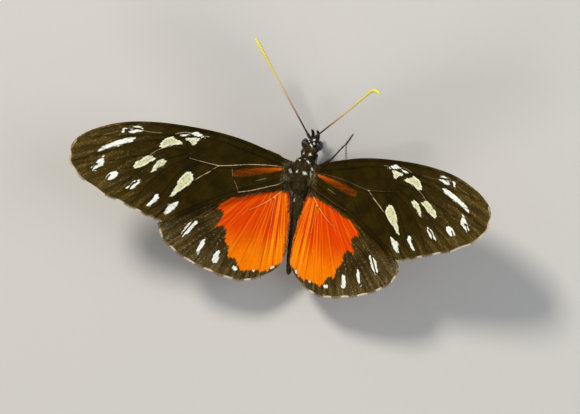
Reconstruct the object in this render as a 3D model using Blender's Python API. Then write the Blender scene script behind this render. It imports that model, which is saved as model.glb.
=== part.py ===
# Tiger longwing butterfly, life size, standing with its wings open in a shallow V.
# Metres, +Z up. The floor is z = 0, the animal faces -Y and its left side is +X.
# Lengths below are in millimetres where a name or a comment says so, times MM.
import math

import bmesh
import bpy
from mathutils import Matrix, Vector
from mathutils.geometry import delaunay_2d_cdt

MM = 0.001
GAP = 0.3 * MM
COLLECTION = "tiger_longwing"

# The whole model is moved by this, so that its origin is under the middle of its bounds.
ORIGIN_SHIFT = Vector((0.033, 0.769, 0.0)) * MM

# Wing planes: a hinge point on each side, tilted up by the dihedral and turned forward by the sweeps.
HINGE_X = 1.73 * MM
HINGE_Z = 8.0 * MM
DIHEDRAL = math.radians(17.8)
FORE_SWEEP = {"left": math.radians(-0.85), "right": math.radians(0.85)}
HIND_SWEEP = {"left": math.radians(0.9), "right": math.radians(-0.9)}
HIND_DROP = 1.2 * MM
MEMBRANE = 0.5 * MM
RIDGE_TOP = 0.2 * MM
RIDGE_UNDER = 0.1 * MM
RIDGE_HALF_WIDTH = 0.3 * MM
TIP_RISE = 0.6 * MM
CHORD_DROP = 0.3 * MM
SPAN = 42.0 * MM
CHORD = 18.0 * MM
CHORD_MIDDLE = -3.0 * MM
ROOT_THICKNESS = 0.9 * MM
ROOT_TAPER = 3.0 * MM
OUTLINE_STEP = 1.3 * MM
VEIN_STEP = 2.6 * MM
SCALLOP = 0.22 * MM
SLOT_DEPTH = 4.0 * MM
FLAT_WELD = 0.02
ROD_WELD = 0.01 * MM

# Wing outlines in millimetres: outward from the hinge, then forward of it.
FORE_ROOT_X = 0.35
FORE_LEAD = [(FORE_ROOT_X, 1.7), (4.8, 3.15), (11.2, 4.65), (18.7, 5.3), (27.0, 5.1), (34.0, 3.8),
             (39.9, 0.9), (42.0, -2.3)]
FORE_OUTER = [(42.0, -2.3), (40.65, -6.2), (35.55, -9.3), (29.9, -11.15), (25.5, -12.55), (22.8, -13.2)]
FORE_HIND = [(22.8, -13.2), (21.0, -12.75), (17.2, -10.4), (11.8, -7.2), (6.8, -4.9), (2.4, -3.2),
             (FORE_ROOT_X, -1.8)]
HIND_ROOT_X = -0.1
HIND_LEAD = [(HIND_ROOT_X, -1.3), (1.6, -1.3), (6.0, -3.1), (14.0, -7.4), (21.2, -12.1), (22.8, -14.2)]
HIND_OUTER = [(22.8, -14.2), (21.2, -17.3), (16.2, -20.1), (9.0, -21.9), (5.0, -21.9), (1.9, -20.6)]
HIND_INNER = [(1.9, -20.6), (-0.8, -18.4), (-1.65, -15.5), (-1.55, -10.9), (-1.0, -7.0), (-0.45, -4.2),
              (HIND_ROOT_X, -3.0)]

# Main veins, from the base outward, in the same millimetres.
FORE_VEINS = [
    [(1.0, 1.35), (7.0, 3.3), (15.0, 4.6), (23.0, 4.85), (31.0, 4.1), (37.0, 2.1)],
    [(1.0, 0.7), (8.7, 2.3), (13.8, 3.4), (20.0, 3.5), (26.0, 2.75), (33.0, 1.45), (39.6, 0.3)],
    [(1.0, -0.25), (7.0, -0.9), (13.8, -1.4), (19.6, -0.7)],
    [(20.6, 3.3), (20.1, 0.8), (19.6, -0.7)],
    [(20.6, 3.1), (25.5, 1.9), (30.0, 0.7), (36.0, -2.3), (41.0, -4.4)],
    [(20.1, 0.9), (24.5, 0.3), (27.0, -1.0), (32.0, -2.7), (36.5, -4.4), (39.2, -7.0)],
    [(19.9, 0.2), (25.2, -2.1), (29.0, -5.0), (33.2, -9.9)],
    [(19.7, -0.6), (23.0, -2.8), (25.8, -5.8), (29.2, -11.1)],
    [(17.0, -1.0), (20.8, -3.5), (23.3, -7.6), (25.8, -12.2)],
    [(13.8, -1.4), (17.8, -4.5), (21.3, -8.6), (23.9, -12.5)],
    [(1.0, -1.2), (6.0, -3.6), (12.0, -6.3), (18.0, -9.9), (21.6, -12.2)],
]
HIND_VEINS = [
    [(0.9, -1.9), (6.0, -3.9), (13.0, -7.6), (19.0, -11.4), (22.1, -14.3)],
    [(0.9, -2.6), (6.9, -8.2), (13.5, -11.9), (20.6, -17.3)],
    [(6.7, -8.1), (12.3, -13.6), (17.6, -18.8)],
    [(6.2, -7.6), (10.8, -15.2), (13.6, -20.3)],
    [(5.2, -6.7), (8.2, -14.8), (9.9, -21.2)],
    [(4.0, -5.7), (5.6, -13.5), (6.1, -21.5)],
    [(2.6, -4.4), (3.1, -12.8), (2.9, -20.8)],
    [(0.6, -3.6), (0.6, -9.5), (0.7, -18.9)],
]

# The exact solver loses the whole thorax, and cuts the head differently from run to run,
# so both use the manifold one.
CUT_SOLVER = "MANIFOLD"

# Body centres and half sizes, before the shift, in millimetres: (x, y, z).
THORAX_CENTRE = Vector((0.0, 0.35, 6.2))
THORAX_RADII = Vector((2.3, 3.7, 2.65))
THORAX_POWER = 2.7
NECK = Vector((-0.05, -0.974, -0.226)).normalized()
THORAX_FRONT = 3.1
COLLAR_LENGTH = 1.3
COLLAR_RADII = Vector((1.6, 1.05, 1.5))
COLLAR_POWER = 2.4
HEAD_CENTRE = Vector((-0.45, -5.75, 4.95))
HEAD_RADII = Vector((1.4, 1.55, 1.35))
HEAD_POWER = 2.3
EYE_OFFSET = Vector((1.33, 0.15, 0.15))
EYE_RADII = Vector((0.8, 1.0, 1.1))
EYE_POWER = 2.0
ABDOMEN_PATH = [(3.75, 5.5), (7.0, 5.0), (10.0, 4.6), (13.5, 4.4), (19.4, 4.3)]
ABDOMEN_RADII = [(0.0, 1.05), (0.12, 1.2), (0.45, 1.18), (0.7, 1.1), (0.88, 0.88), (0.96, 0.62), (1.0, 0.3)]
ABDOMEN_RINGS = 7
RING_GROOVE = 0.06

# Faces round and along each rounded solid.
THORAX_FACES = (24, 14)
COLLAR_FACES = (20, 10)
HEAD_FACES = (20, 12)
EYE_FACES = (16, 10)

# Feelers, in millimetres: start, aim and length, with a sideways bow and a hook at the club.
ANTENNAE = {
    "left": {"start": Vector((0.2, -6.95, 5.75)), "aim": Vector((0.569, -0.778, 0.266)),
             "length": 21.4, "bow": Vector((0.0, 0.0, 0.0)), "hook": Vector((0.0, 0.0, 0.0))},
    "right": {"start": Vector((-0.85, -7.0, 5.6)), "aim": Vector((-0.644, -0.571, 0.516)),
              "length": 21.45, "bow": Vector((0.0, 0.2, 0.0)), "hook": Vector((-0.2, 1.6, -0.5))},
}
ANTENNA_RADII = [(0.0, 0.26), (0.1, 0.25), (0.68, 0.25), (0.86, 0.36), (0.95, 0.36), (1.0, 0.16)]
ANTENNA_KNOTS = 15
HOOK_FROM = 0.8

# Palps and coiled tongue, in millimetres from the head's centre.
PALP = [(0.5, -1.15, -0.95), (0.52, -1.6, -1.1), (0.54, -2.1, -0.8), (0.54, -2.4, -0.1), (0.5, -2.45, 0.7)]
PALP_RADII = [0.26, 0.31, 0.32, 0.27, 0.12]
TONGUE_START = Vector((0.0, -0.1, -1.3))
TONGUE_RADIUS = 0.25
COIL_DROP = 1.3
COIL_RADIUS = 1.15
COIL_PITCH = 0.8
COIL_TURNS = 1.2
COIL_STEPS_A_TURN = 16

# Cutters that leave a gap round the root of a rod, in millimetres.
PIT_SIDES = 16
HEAD_PIT = 1.5
TONGUE_PIT = 1.0
LEG_PIT = 2.0

# Legs, in millimetres: each joint with x outward. The right middle leg steps further forward.
FOOT_HEIGHT = 0.2
MIDLEG = {
    "left": [(1.05, -0.9, 4.1), (1.7, -1.1, 3.9), (4.2, -1.9, 5.3), (4.7, -2.0, 5.3), (6.5, -2.4, 1.2),
             (7.0, -2.5, FOOT_HEIGHT), (9.2, -3.0, FOOT_HEIGHT)],
    "right": [(1.05, -0.9, 4.1), (1.7, -1.2, 3.9), (4.3, -3.2, 5.2), (4.75, -3.65, 5.2), (5.25, -6.0, 1.2),
              (5.5, -6.7, FOOT_HEIGHT), (6.5, -8.7, FOOT_HEIGHT)],
}
HINDLEG = [(1.05, 1.4, 4.1), (1.7, 1.7, 3.9), (3.8, 3.3, 5.0), (4.3, 3.7, 5.0), (5.8, 6.3, 1.2),
           (6.2, 7.2, FOOT_HEIGHT), (6.8, 10.1, FOOT_HEIGHT)]
FORELEG = [(0.75, -2.0, 4.1), (0.95, -2.5, 3.5), (1.05, -3.9, 2.9), (1.0, -3.5, 2.2), (0.95, -2.3, 2.1)]
LEG_RADII = [0.42, 0.36, 0.32, 0.27, 0.26, 0.25, 0.21]
FORELEG_RADII = [0.34, 0.3, 0.27, 0.25, 0.2]


def clear_scene():
    for item in list(bpy.data.objects):
        bpy.data.objects.remove(item, do_unlink=True)


def collection(name):
    group = bpy.data.collections.new(name)
    bpy.context.scene.collection.children.link(group)
    return group


def paint(name, colour, roughness, metallic=0.0):
    material = bpy.data.materials.new(name)
    material.use_nodes = True
    shader = material.node_tree.nodes["Principled BSDF"]
    shader.inputs["Base Color"].default_value = (*colour, 1.0)
    shader.inputs["Roughness"].default_value = roughness
    shader.inputs["Metallic"].default_value = metallic
    return material


def new_object(name, mesh, material, group):
    item = bpy.data.objects.new(name, mesh)
    mesh.materials.clear()
    mesh.materials.append(material)
    group.objects.link(item)
    return item


def smooth_path(points, step, coming_from=None, going_to=None):
    # A Catmull-Rom curve through the points, cut into pieces of about the given step.
    # Where a neighbour point beyond an end is given, the curve runs on smoothly towards it.
    path = [Vector(point) for point in points]
    first = Vector(coming_from) if coming_from else path[0] * 2 - path[1]
    last = Vector(going_to) if going_to else path[-1] * 2 - path[-2]
    ends = [first] + path + [last]
    result = []
    for index in range(1, len(ends) - 2):
        before, start, end, after = ends[index - 1:index + 3]
        count = max(1, round((end - start).length / step))
        for part in range(count):
            t = part / count
            result.append(0.5 * ((2 * start) + (end - before) * t
                                 + (2 * before - 5 * start + 4 * end - after) * t ** 2
                                 + (3 * start - before - 3 * end + after) * t ** 3))
    result.append(path[-1])
    return result


def fraction_value(table, fraction):
    # Straight-line lookup in a short list of (fraction, value) pairs.
    for (low, low_value), (high, high_value) in zip(table, table[1:]):
        if fraction <= high:
            share = (fraction - low) / (high - low)
            return low_value + (high_value - low_value) * share
    return table[-1][1]


def distance_to_line(point, line):
    best = math.inf
    for start, end in zip(line, line[1:]):
        along = end - start
        share = max(0.0, min(1.0, (point - start).dot(along) / along.length_squared))
        best = min(best, (point - start - along * share).length)
    return best


def offset_line(line, offset):
    # The same line moved sideways, without its two end points.
    moved = []
    for before, here, after in zip(line, line[1:], line[2:]):
        along = (after - before).normalized()
        moved.append(here + Vector((-along.y, along.x)) * offset)
    return moved


def scalloped(margin, ends):
    # The margin steps inward between the vein ends.
    marks = sorted(min(range(len(margin)), key=lambda i: (margin[i] - end).length) for end in ends)
    marks = [0] + [mark for mark in marks if 0 < mark < len(margin) - 1] + [len(margin) - 1]
    result = [margin[0]]
    for low, high in zip(marks, marks[1:]):
        for index in range(low + 1, high + 1):
            if index == len(margin) - 1:
                break
            along = (margin[index + 1] - margin[index - 1]).normalized()
            inward = Vector((along.y, -along.x))
            depth = SCALLOP / MM * math.sin(math.pi * (index - low) / (high - low)) ** 2
            result.append(margin[index] + inward * depth)
    result.append(margin[-1])
    return result


def wing_mesh(name, lead, outer, hind, veins, mirrored):
    step = OUTLINE_STEP / MM
    vein_lines = [smooth_path(vein, VEIN_STEP / MM) for vein in veins]
    margin = smooth_path(outer, step, coming_from=lead[-2])
    margin = scalloped(margin, [line[-1] for line in vein_lines])
    front = smooth_path(lead, 2 * step, going_to=outer[1])
    outline = front[:-1] + margin[:-1] + smooth_path(hind, 1.5 * step)
    points = list(outline)
    edges = [(i, (i + 1) % len(outline)) for i in range(len(outline))]
    half_width = RIDGE_HALF_WIDTH / MM
    for line in vein_lines:
        for track in (line, offset_line(line, half_width), offset_line(line, -half_width)):
            first = len(points)
            points += track
            edges += [(first + i, first + i + 1) for i in range(len(track) - 1)]
    flat, _, triangles, *_ = delaunay_2d_cdt(points, edges, [], 1, FLAT_WELD)

    def ridge(point):
        nearest = min(distance_to_line(point, line) for line in vein_lines)
        return max(0.0, 1.0 - nearest / half_width)

    root_x = lead[0][0]
    bm = bmesh.new()
    top = []
    under = []
    for point in flat:
        centre = TIP_RISE * (point.x * MM / SPAN) ** 2
        centre -= CHORD_DROP * ((point.y * MM - CHORD_MIDDLE) / CHORD) ** 2
        swell = max(0.0, 1.0 - (point.x - root_x) * MM / ROOT_TAPER) ** 2
        half = (MEMBRANE + (ROOT_THICKNESS - MEMBRANE) * swell) / 2
        height = ridge(point)
        x = -point.x * MM if mirrored else point.x * MM
        y = -point.y * MM
        top.append(bm.verts.new((x, y, centre + half + RIDGE_TOP * height)))
        under.append(bm.verts.new((x, y, centre - half - RIDGE_UNDER * height)))
    for triangle in triangles:
        bm.faces.new([top[i] for i in triangle])
        bm.faces.new([under[i] for i in reversed(triangle)])
    rim = [edge for edge in bm.edges if edge.is_boundary]
    partner = {a: b for a, b in zip(top, under)}
    for edge in rim:
        a, b = edge.verts
        if a in partner and b in partner:
            bm.faces.new((a, b, partner[b], partner[a]))
    bmesh.ops.recalc_face_normals(bm, faces=bm.faces[:])
    mesh = bpy.data.meshes.new(name)
    bm.to_mesh(mesh)
    bm.free()
    return mesh


def wing_frame(side, drop, sweep):
    sign = 1 if side == "left" else -1
    hinge = Matrix.Translation((sign * HINGE_X, 0.0, HINGE_Z))
    tilt = Matrix.Rotation(-sign * DIHEDRAL, 4, "Y")
    turn = Matrix.Rotation(-sign * sweep, 4, "Z")
    return Matrix.Translation(ORIGIN_SHIFT) @ hinge @ tilt @ turn @ Matrix.Translation((0, 0, -drop))


def swelled_ball(name, centre, radii, power, faces, turn=Matrix.Identity(4)):
    # A sphere with its poles along Y, squared off by the power and stretched to the radii.
    bm = bmesh.new()
    bmesh.ops.create_uvsphere(bm, u_segments=faces[0], v_segments=faces[1], radius=1.0)
    bmesh.ops.rotate(bm, verts=bm.verts, matrix=Matrix.Rotation(math.pi / 2, 3, "X"))
    for vert in bm.verts:
        size = sum(abs(value) ** power for value in vert.co) ** (1 / power)
        vert.co = Vector(value / size * radius * MM for value, radius in zip(vert.co, radii))
    place = Matrix.Translation(Vector(centre) * MM + ORIGIN_SHIFT) @ turn
    bmesh.ops.transform(bm, verts=bm.verts, matrix=place)
    mesh = bpy.data.meshes.new(name)
    bm.to_mesh(mesh)
    bm.free()
    return mesh


def cut_flat(mesh, point, outward):
    # Cuts the mesh off flat at a point, and drops what lies on the outward side.
    bm = bmesh.new()
    bm.from_mesh(mesh)
    bmesh.ops.bisect_plane(bm, geom=bm.verts[:] + bm.edges[:] + bm.faces[:], clear_outer=True,
                           plane_co=Vector(point) * MM + ORIGIN_SHIFT, plane_no=outward)
    bmesh.ops.edgeloop_fill(bm, edges=[edge for edge in bm.edges if edge.is_boundary])
    bmesh.ops.recalc_face_normals(bm, faces=bm.faces[:])
    bm.to_mesh(mesh)
    bm.free()


def tube_object(name, points, radii, material, group, rings=2):
    # A round rod along the points, in millimetres, with a radius at each.
    curve = bpy.data.curves.new(name, "CURVE")
    curve.dimensions = "3D"
    curve.bevel_depth = MM
    curve.bevel_resolution = rings
    curve.use_fill_caps = True
    spline = curve.splines.new("POLY")
    spline.points.add(len(points) - 1)
    for knot, point, radius in zip(spline.points, points, radii):
        knot.co = (*(Vector(point) * MM + ORIGIN_SHIFT), 1.0)
        knot.radius = radius
    holder = bpy.data.objects.new(name + "_curve", curve)
    bpy.context.scene.collection.objects.link(holder)
    bpy.context.view_layer.update()
    graph = bpy.context.evaluated_depsgraph_get()
    mesh = bpy.data.meshes.new_from_object(holder.evaluated_get(graph))
    bpy.data.objects.remove(holder, do_unlink=True)
    bm = bmesh.new()
    bm.from_mesh(mesh)
    bmesh.ops.remove_doubles(bm, verts=bm.verts[:], dist=ROD_WELD)
    bmesh.ops.recalc_face_normals(bm, faces=bm.faces[:])
    bm.to_mesh(mesh)
    bm.free()
    mesh.name = name
    return new_object(name, mesh, material, group)


def cut_with(target, cutter_mesh, name, cutters):
    cutter = bpy.data.objects.new(name, cutter_mesh)
    cutter.hide_render = True
    cutter.display_type = "WIRE"
    cutters.objects.link(cutter)
    boolean = target.modifiers.new(name, "BOOLEAN")
    boolean.operation = "DIFFERENCE"
    boolean.solver = CUT_SOLVER
    boolean.object = cutter


def pit_mesh(name, start, direction, radius, length):
    # A round cutter whose flat floor lies one gap behind the start of a rod.
    bm = bmesh.new()
    bmesh.ops.create_cone(bm, cap_ends=True, segments=PIT_SIDES, radius1=radius * MM, radius2=radius * MM,
                          depth=length * MM)
    aim = Vector(direction).normalized()
    turn = aim.to_track_quat("Z", "Y").to_matrix().to_4x4()
    middle = Vector(start) * MM - aim * GAP + aim * length * MM / 2 + ORIGIN_SHIFT
    bmesh.ops.transform(bm, verts=bm.verts, matrix=Matrix.Translation(middle) @ turn)
    mesh = bpy.data.meshes.new(name)
    bm.to_mesh(mesh)
    bm.free()
    return mesh


def slot_mesh(name, frame, sign, root_x, front, back):
    # A box that leaves one gap round a wing root, its inner face one gap behind it.
    half_height = ROOT_THICKNESS / 2 + GAP
    inner = root_x * MM - GAP
    low = back * MM - GAP
    high = front * MM + GAP
    bm = bmesh.new()
    bmesh.ops.create_cube(bm, size=1.0)
    bmesh.ops.scale(bm, vec=(SLOT_DEPTH, high - low, 2 * half_height), verts=bm.verts)
    middle = Vector((sign * (inner + SLOT_DEPTH / 2), -(low + high) / 2, 0.0))
    bmesh.ops.translate(bm, vec=middle, verts=bm.verts)
    bmesh.ops.transform(bm, verts=bm.verts, matrix=frame)
    mesh = bpy.data.meshes.new(name)
    bm.to_mesh(mesh)
    bm.free()
    return mesh


def build_wings(parts, dark, warm):
    frames = {}
    for side in ("left", "right"):
        mirrored = side == "right"
        fore = wing_mesh("forewing_" + side, FORE_LEAD, FORE_OUTER, FORE_HIND, FORE_VEINS, mirrored)
        hind = wing_mesh("hindwing_" + side, HIND_LEAD, HIND_OUTER, HIND_INNER, HIND_VEINS, mirrored)
        frames["forewing_" + side] = wing_frame(side, 0.0, FORE_SWEEP[side])
        frames["hindwing_" + side] = wing_frame(side, HIND_DROP, HIND_SWEEP[side])
        new_object("forewing_" + side, fore, dark, parts).matrix_world = frames["forewing_" + side]
        new_object("hindwing_" + side, hind, warm, parts).matrix_world = frames["hindwing_" + side]
    return frames


def build_trunk(parts, cutters, frames, dark):
    mesh = swelled_ball("thorax", THORAX_CENTRE, THORAX_RADII, THORAX_POWER, THORAX_FACES)
    cut_flat(mesh, THORAX_CENTRE + NECK * THORAX_FRONT, NECK)
    abdomen_start = Vector((0.0, *ABDOMEN_PATH[0]))
    abdomen_aim = (Vector((0.0, *ABDOMEN_PATH[1])) - abdomen_start).normalized()
    cut_flat(mesh, abdomen_start - abdomen_aim * (GAP / MM), abdomen_aim)
    thorax = new_object("thorax", mesh, dark, parts)
    for side, sign in (("left", 1), ("right", -1)):
        fore = slot_mesh("fore_slot_" + side, frames["forewing_" + side], sign, FORE_ROOT_X,
                         FORE_LEAD[0][1], FORE_HIND[-1][1])
        cut_with(thorax, fore, "fore_slot_" + side, cutters)
        hind = slot_mesh("hind_slot_" + side, frames["hindwing_" + side], sign, HIND_ROOT_X,
                         HIND_LEAD[0][1], HIND_INNER[-1][1])
        cut_with(thorax, hind, "hind_slot_" + side, cutters)
    collar_middle = THORAX_FRONT + GAP / MM + COLLAR_LENGTH / 2
    collar_centre = THORAX_CENTRE + NECK * collar_middle
    turn = (-NECK).to_track_quat("Y", "Z").to_matrix().to_4x4()
    collar = swelled_ball("prothorax", collar_centre, COLLAR_RADII, COLLAR_POWER, COLLAR_FACES, turn)
    cut_flat(collar, collar_centre + NECK * COLLAR_LENGTH / 2, NECK)
    cut_flat(collar, collar_centre - NECK * COLLAR_LENGTH / 2, -NECK)
    new_object("prothorax", collar, dark, parts)
    path = smooth_path([(0.0, *point) for point in ABDOMEN_PATH], 0.01)
    count = 3 * ABDOMEN_RINGS
    points = []
    radii = []
    for index in range(count + 1):
        share = index / count
        groove = RING_GROOVE if index % 3 == 0 and 0 < index < count else 0.0
        points.append(path[round(share * (len(path) - 1))])
        radii.append(fraction_value(ABDOMEN_RADII, share) * (1 - groove))
    tube_object("abdomen", points, radii, dark, parts, rings=4)
    return thorax


def build_head(parts, cutters, dark, eye_paint):
    mesh = swelled_ball("head", HEAD_CENTRE, HEAD_RADII, HEAD_POWER, HEAD_FACES)
    behind = THORAX_CENTRE + NECK * (THORAX_FRONT + COLLAR_LENGTH + 2 * GAP / MM)
    cut_flat(mesh, behind, -NECK)
    head = new_object("head", mesh, dark, parts)
    for side, sign in (("left", 1), ("right", -1)):
        centre = HEAD_CENTRE + Vector((sign * EYE_OFFSET.x, EYE_OFFSET.y, EYE_OFFSET.z))
        eye = swelled_ball("eye_" + side, centre, EYE_RADII, EYE_POWER, EYE_FACES)
        new_object("eye_" + side, eye, eye_paint, parts)
        room = EYE_RADII + Vector((1, 1, 1)) * (GAP / MM)
        socket = swelled_ball("eye_socket_" + side, centre, room, EYE_POWER, EYE_FACES)
        cut_with(head, socket, "eye_socket_" + side, cutters)
    return head


def build_antennae(parts, cutters, head, dark):
    for side, spec in ANTENNAE.items():
        aim = spec["aim"].normalized()
        points = []
        radii = []
        for index in range(ANTENNA_KNOTS):
            share = index / (ANTENNA_KNOTS - 1)
            straight = spec["start"] + aim * spec["length"] * share
            hooked = max(0.0, share - HOOK_FROM) / (1.0 - HOOK_FROM)
            bowed = spec["bow"] * math.sin(math.pi * share) ** 2
            points.append(straight + bowed + spec["hook"] * hooked ** 2)
            radii.append(fraction_value(ANTENNA_RADII, share))
        tube_object("antenna_" + side, points, radii, dark, parts)
        pit = pit_mesh("antenna_pit_" + side, spec["start"], aim, radii[0] + GAP / MM, HEAD_PIT)
        cut_with(head, pit, "antenna_pit_" + side, cutters)


def build_mouth(parts, cutters, head, dark):
    for side, sign in (("left", 1), ("right", -1)):
        points = [HEAD_CENTRE + Vector((sign * x, y, z)) for x, y, z in PALP]
        tube_object("palp_" + side, points, PALP_RADII, dark, parts)
        pit = pit_mesh("palp_pit_" + side, points[0], points[1] - points[0], PALP_RADII[0] + GAP / MM,
                       HEAD_PIT)
        cut_with(head, pit, "palp_pit_" + side, cutters)
    start = HEAD_CENTRE + TONGUE_START
    coil_centre = start + Vector((0.0, -COIL_RADIUS, -COIL_DROP))
    points = [start, start + Vector((0.0, 0.0, -COIL_DROP / 2))]
    for index in range(round(COIL_TURNS * COIL_STEPS_A_TURN) + 1):
        turns = index / COIL_STEPS_A_TURN
        radius = COIL_RADIUS - COIL_PITCH * turns
        angle = 2 * math.pi * turns
        points.append(coil_centre + Vector((0.0, math.cos(angle), -math.sin(angle))) * radius)
    tube_object("proboscis", points, [TONGUE_RADIUS] * len(points), dark, parts, rings=1)
    pit = pit_mesh("tongue_pit", start, Vector((0.0, 0.0, -1.0)), TONGUE_RADIUS + GAP / MM,
                   TONGUE_PIT)
    cut_with(head, pit, "tongue_pit", cutters)


def build_legs(parts, cutters, thorax, dark):
    for side, sign in (("left", 1), ("right", -1)):
        kinds = (("foreleg", FORELEG, FORELEG_RADII), ("midleg", MIDLEG[side], LEG_RADII),
                 ("hindleg", HINDLEG, LEG_RADII))
        for name, joints, radii in kinds:
            points = [Vector((sign * x, y, z)) for x, y, z in joints]
            leg = tube_object(name + "_" + side, points, radii, dark, parts)
            if name != "foreleg":
                cut_flat(leg.data, (0.0, 0.0, 0.0), (0.0, 0.0, -1.0))
            pit = pit_mesh(name + "_pit_" + side, points[0], points[1] - points[0], radii[0] + GAP / MM,
                           LEG_PIT)
            cut_with(thorax, pit, name + "_pit_" + side, cutters)


def main():
    clear_scene()
    parts = collection(COLLECTION)
    cutters = collection("cutters")
    dark = paint("black_scales", (0.02, 0.016, 0.008), 0.7)
    warm = paint("orange_scales", (0.5, 0.12, 0.01), 0.6)
    eye_paint = paint("eye", (0.03, 0.025, 0.02), 0.2)
    frames = build_wings(parts, dark, warm)
    thorax = build_trunk(parts, cutters, frames, dark)
    head = build_head(parts, cutters, dark, eye_paint)
    build_antennae(parts, cutters, head, dark)
    build_mouth(parts, cutters, head, dark)
    build_legs(parts, cutters, thorax, dark)


main()
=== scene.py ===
import math

import bmesh
import bpy
import numpy as np
from mathutils import Matrix, Vector, noise
from mathutils.bvhtree import BVHTree
from mathutils.geometry import delaunay_2d_cdt


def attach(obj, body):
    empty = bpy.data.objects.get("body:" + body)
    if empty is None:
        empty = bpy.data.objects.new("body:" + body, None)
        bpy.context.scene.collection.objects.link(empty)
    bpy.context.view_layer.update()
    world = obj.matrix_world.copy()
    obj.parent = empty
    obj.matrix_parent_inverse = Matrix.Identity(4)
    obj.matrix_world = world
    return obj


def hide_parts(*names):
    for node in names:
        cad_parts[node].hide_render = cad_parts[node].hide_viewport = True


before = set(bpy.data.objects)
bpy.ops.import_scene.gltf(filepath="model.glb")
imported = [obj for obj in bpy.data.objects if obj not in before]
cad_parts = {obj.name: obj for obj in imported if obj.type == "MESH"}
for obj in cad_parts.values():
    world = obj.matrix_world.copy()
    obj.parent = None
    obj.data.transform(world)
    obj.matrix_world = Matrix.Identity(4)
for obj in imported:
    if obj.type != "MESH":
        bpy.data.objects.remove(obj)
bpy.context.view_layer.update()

mm = 0.001
originShift = Vector((0.033, 0.769, 0.0))  # mm, from the body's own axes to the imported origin
mirrored = {"left": 1, "right": -1}
print("frame loaded:", len(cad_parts), "nodes")


# Node trees, for finishes and for what repeats or follows a path

class Wire:
    # A node socket with operators, so that sums on values read as Python.
    def __init__(self, tree, socket=None):
        self.tree = tree
        self.socket = socket

    def into(self, node, key):
        self.tree.links.new(self.socket, node.inputs[key])

    def sibling(self, output):
        # Another output of the same node.
        return Wire(self.tree, self.socket.node.outputs[output])

    def make(self, kind, settings, inputs, output=0):
        node = self.tree.nodes.new(kind)
        for key, value in settings.items():
            if key == "stops":
                while len(node.color_ramp.elements) < len(value):
                    node.color_ramp.elements.new(1.0)
                for stop, (at, colour) in zip(node.color_ramp.elements, value):
                    stop.position = at
                    stop.color = colour
            else:
                setattr(node, key, value)
        for key, value in inputs.items():
            if isinstance(value, Wire):
                value.into(node, key)
            else:
                node.inputs[key].default_value = value
        return Wire(self.tree, node.outputs[output])

    def sum(self, operation, *values):
        return self.make("ShaderNodeMath", {"operation": operation}, dict(enumerate(values)))

    def __add__(self, other):
        return self.sum("ADD", self, other)

    def __sub__(self, other):
        return self.sum("SUBTRACT", self, other)

    def __rsub__(self, other):
        return self.sum("SUBTRACT", other, self)

    def __mul__(self, other):
        return self.sum("MULTIPLY", self, other)

    def within(self, low, high):
        # 0 below low, 1 above high, and smooth between; low above high turns it round.
        settings = {"interpolation_type": "SMOOTHSTEP"}
        return self.make("ShaderNodeMapRange", settings, {"Value": self, "From Min": low, "From Max": high})


def tone(red, green, blue):
    # A screen colour, 0 to 255, as the linear one that a shader takes.
    return tuple(((value / 255 + 0.055) / 1.055) ** 2.4 if value > 10 else value / 3295
                 for value in (red, green, blue)) + (1.0,)


def newFinish(name, fixed):
    # A Principled material: fixed holds what is the same all over it.
    material = bpy.data.materials.new(name)
    material.use_nodes = True
    shader = material.node_tree.nodes["Principled BSDF"]
    for key, value in fixed.items():
        shader.inputs[key].default_value = value
    return material, shader, Wire(material.node_tree)


def mixed(factor, first, second):
    return factor.make("ShaderNodeMix", {"data_type": "RGBA"}, {0: factor, 6: first, 7: second}, 2)


def layered(colour, *layers):
    # Tones over a first one, each with the factor that it shows by.
    for factor, over in layers:
        colour = mixed(factor, colour, over)
    return colour


def attributeOf(wires, name, output="Fac"):
    return wires.make("ShaderNodeAttribute", {"attribute_name": name}, {}, output)


def positionOf(wires):
    return wires.make("ShaderNodeTexCoord", {}, {}, "Object")


def noiseOf(wires, vector, scale, detail=2.0, roughness=0.5):
    inputs = {"Vector": vector, "Scale": scale, "Detail": detail, "Roughness": roughness}
    return wires.make("ShaderNodeTexNoise", {"noise_dimensions": "3D"}, inputs)


def stretched(wires, vector, scale):
    return wires.make("ShaderNodeVectorMath", {"operation": "MULTIPLY"}, {0: vector, 1: scale})


def bumped(wires, height, strength, depth):
    return wires.make("ShaderNodeBump", {}, {"Height": height, "Strength": strength, "Distance": depth * mm})


def newTree(name, **inputs):
    # A geometry tree with named inputs, each of the socket type given.
    tree = bpy.data.node_groups.new(name, "GeometryNodeTree")
    for key, kind in {"Geometry": "Geometry", **inputs}.items():
        tree.interface.new_socket(key, in_out="INPUT", socket_type="NodeSocket" + kind)
    tree.interface.new_socket("Geometry", in_out="OUTPUT", socket_type="NodeSocketGeometry")
    source = tree.nodes.new("NodeGroupInput")
    return Wire(tree), {socket.name: Wire(tree, socket) for socket in source.outputs if socket.name}


def endTree(wires, geometry, material):
    realized = wires.make("GeometryNodeRealizeInstances", {}, {"Geometry": geometry})
    painted = wires.make("GeometryNodeSetMaterial", {}, {"Geometry": realized, "Material": material})
    painted.into(wires.tree.nodes.new("NodeGroupOutput"), 0)
    return wires.tree


def named(wires, name, kind="FLOAT"):
    return wires.make("GeometryNodeInputNamedAttribute", {"data_type": kind}, {"Name": name})


def settled(piece):
    # The piece with its modifiers made part of its mesh.
    graph = bpy.context.evaluated_depsgraph_get()
    mesh = bpy.data.meshes.new_from_object(piece.evaluated_get(graph), preserve_all_data_layers=True,
                                           depsgraph=graph)
    piece.modifiers.clear()
    piece.data = mesh
    return piece


def applyTree(piece, tree, values):
    modifier = piece.modifiers.new(tree.name, "NODES")
    modifier.node_group = tree
    for item in tree.interface.items_tree:
        if item.in_out == "INPUT" and item.name in values:
            modifier[item.identifier] = values[item.name]
    return settled(piece)


def newPiece(name, data):
    piece = bpy.data.objects.new(name, data)
    bpy.context.scene.collection.objects.link(piece)
    return piece


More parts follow.
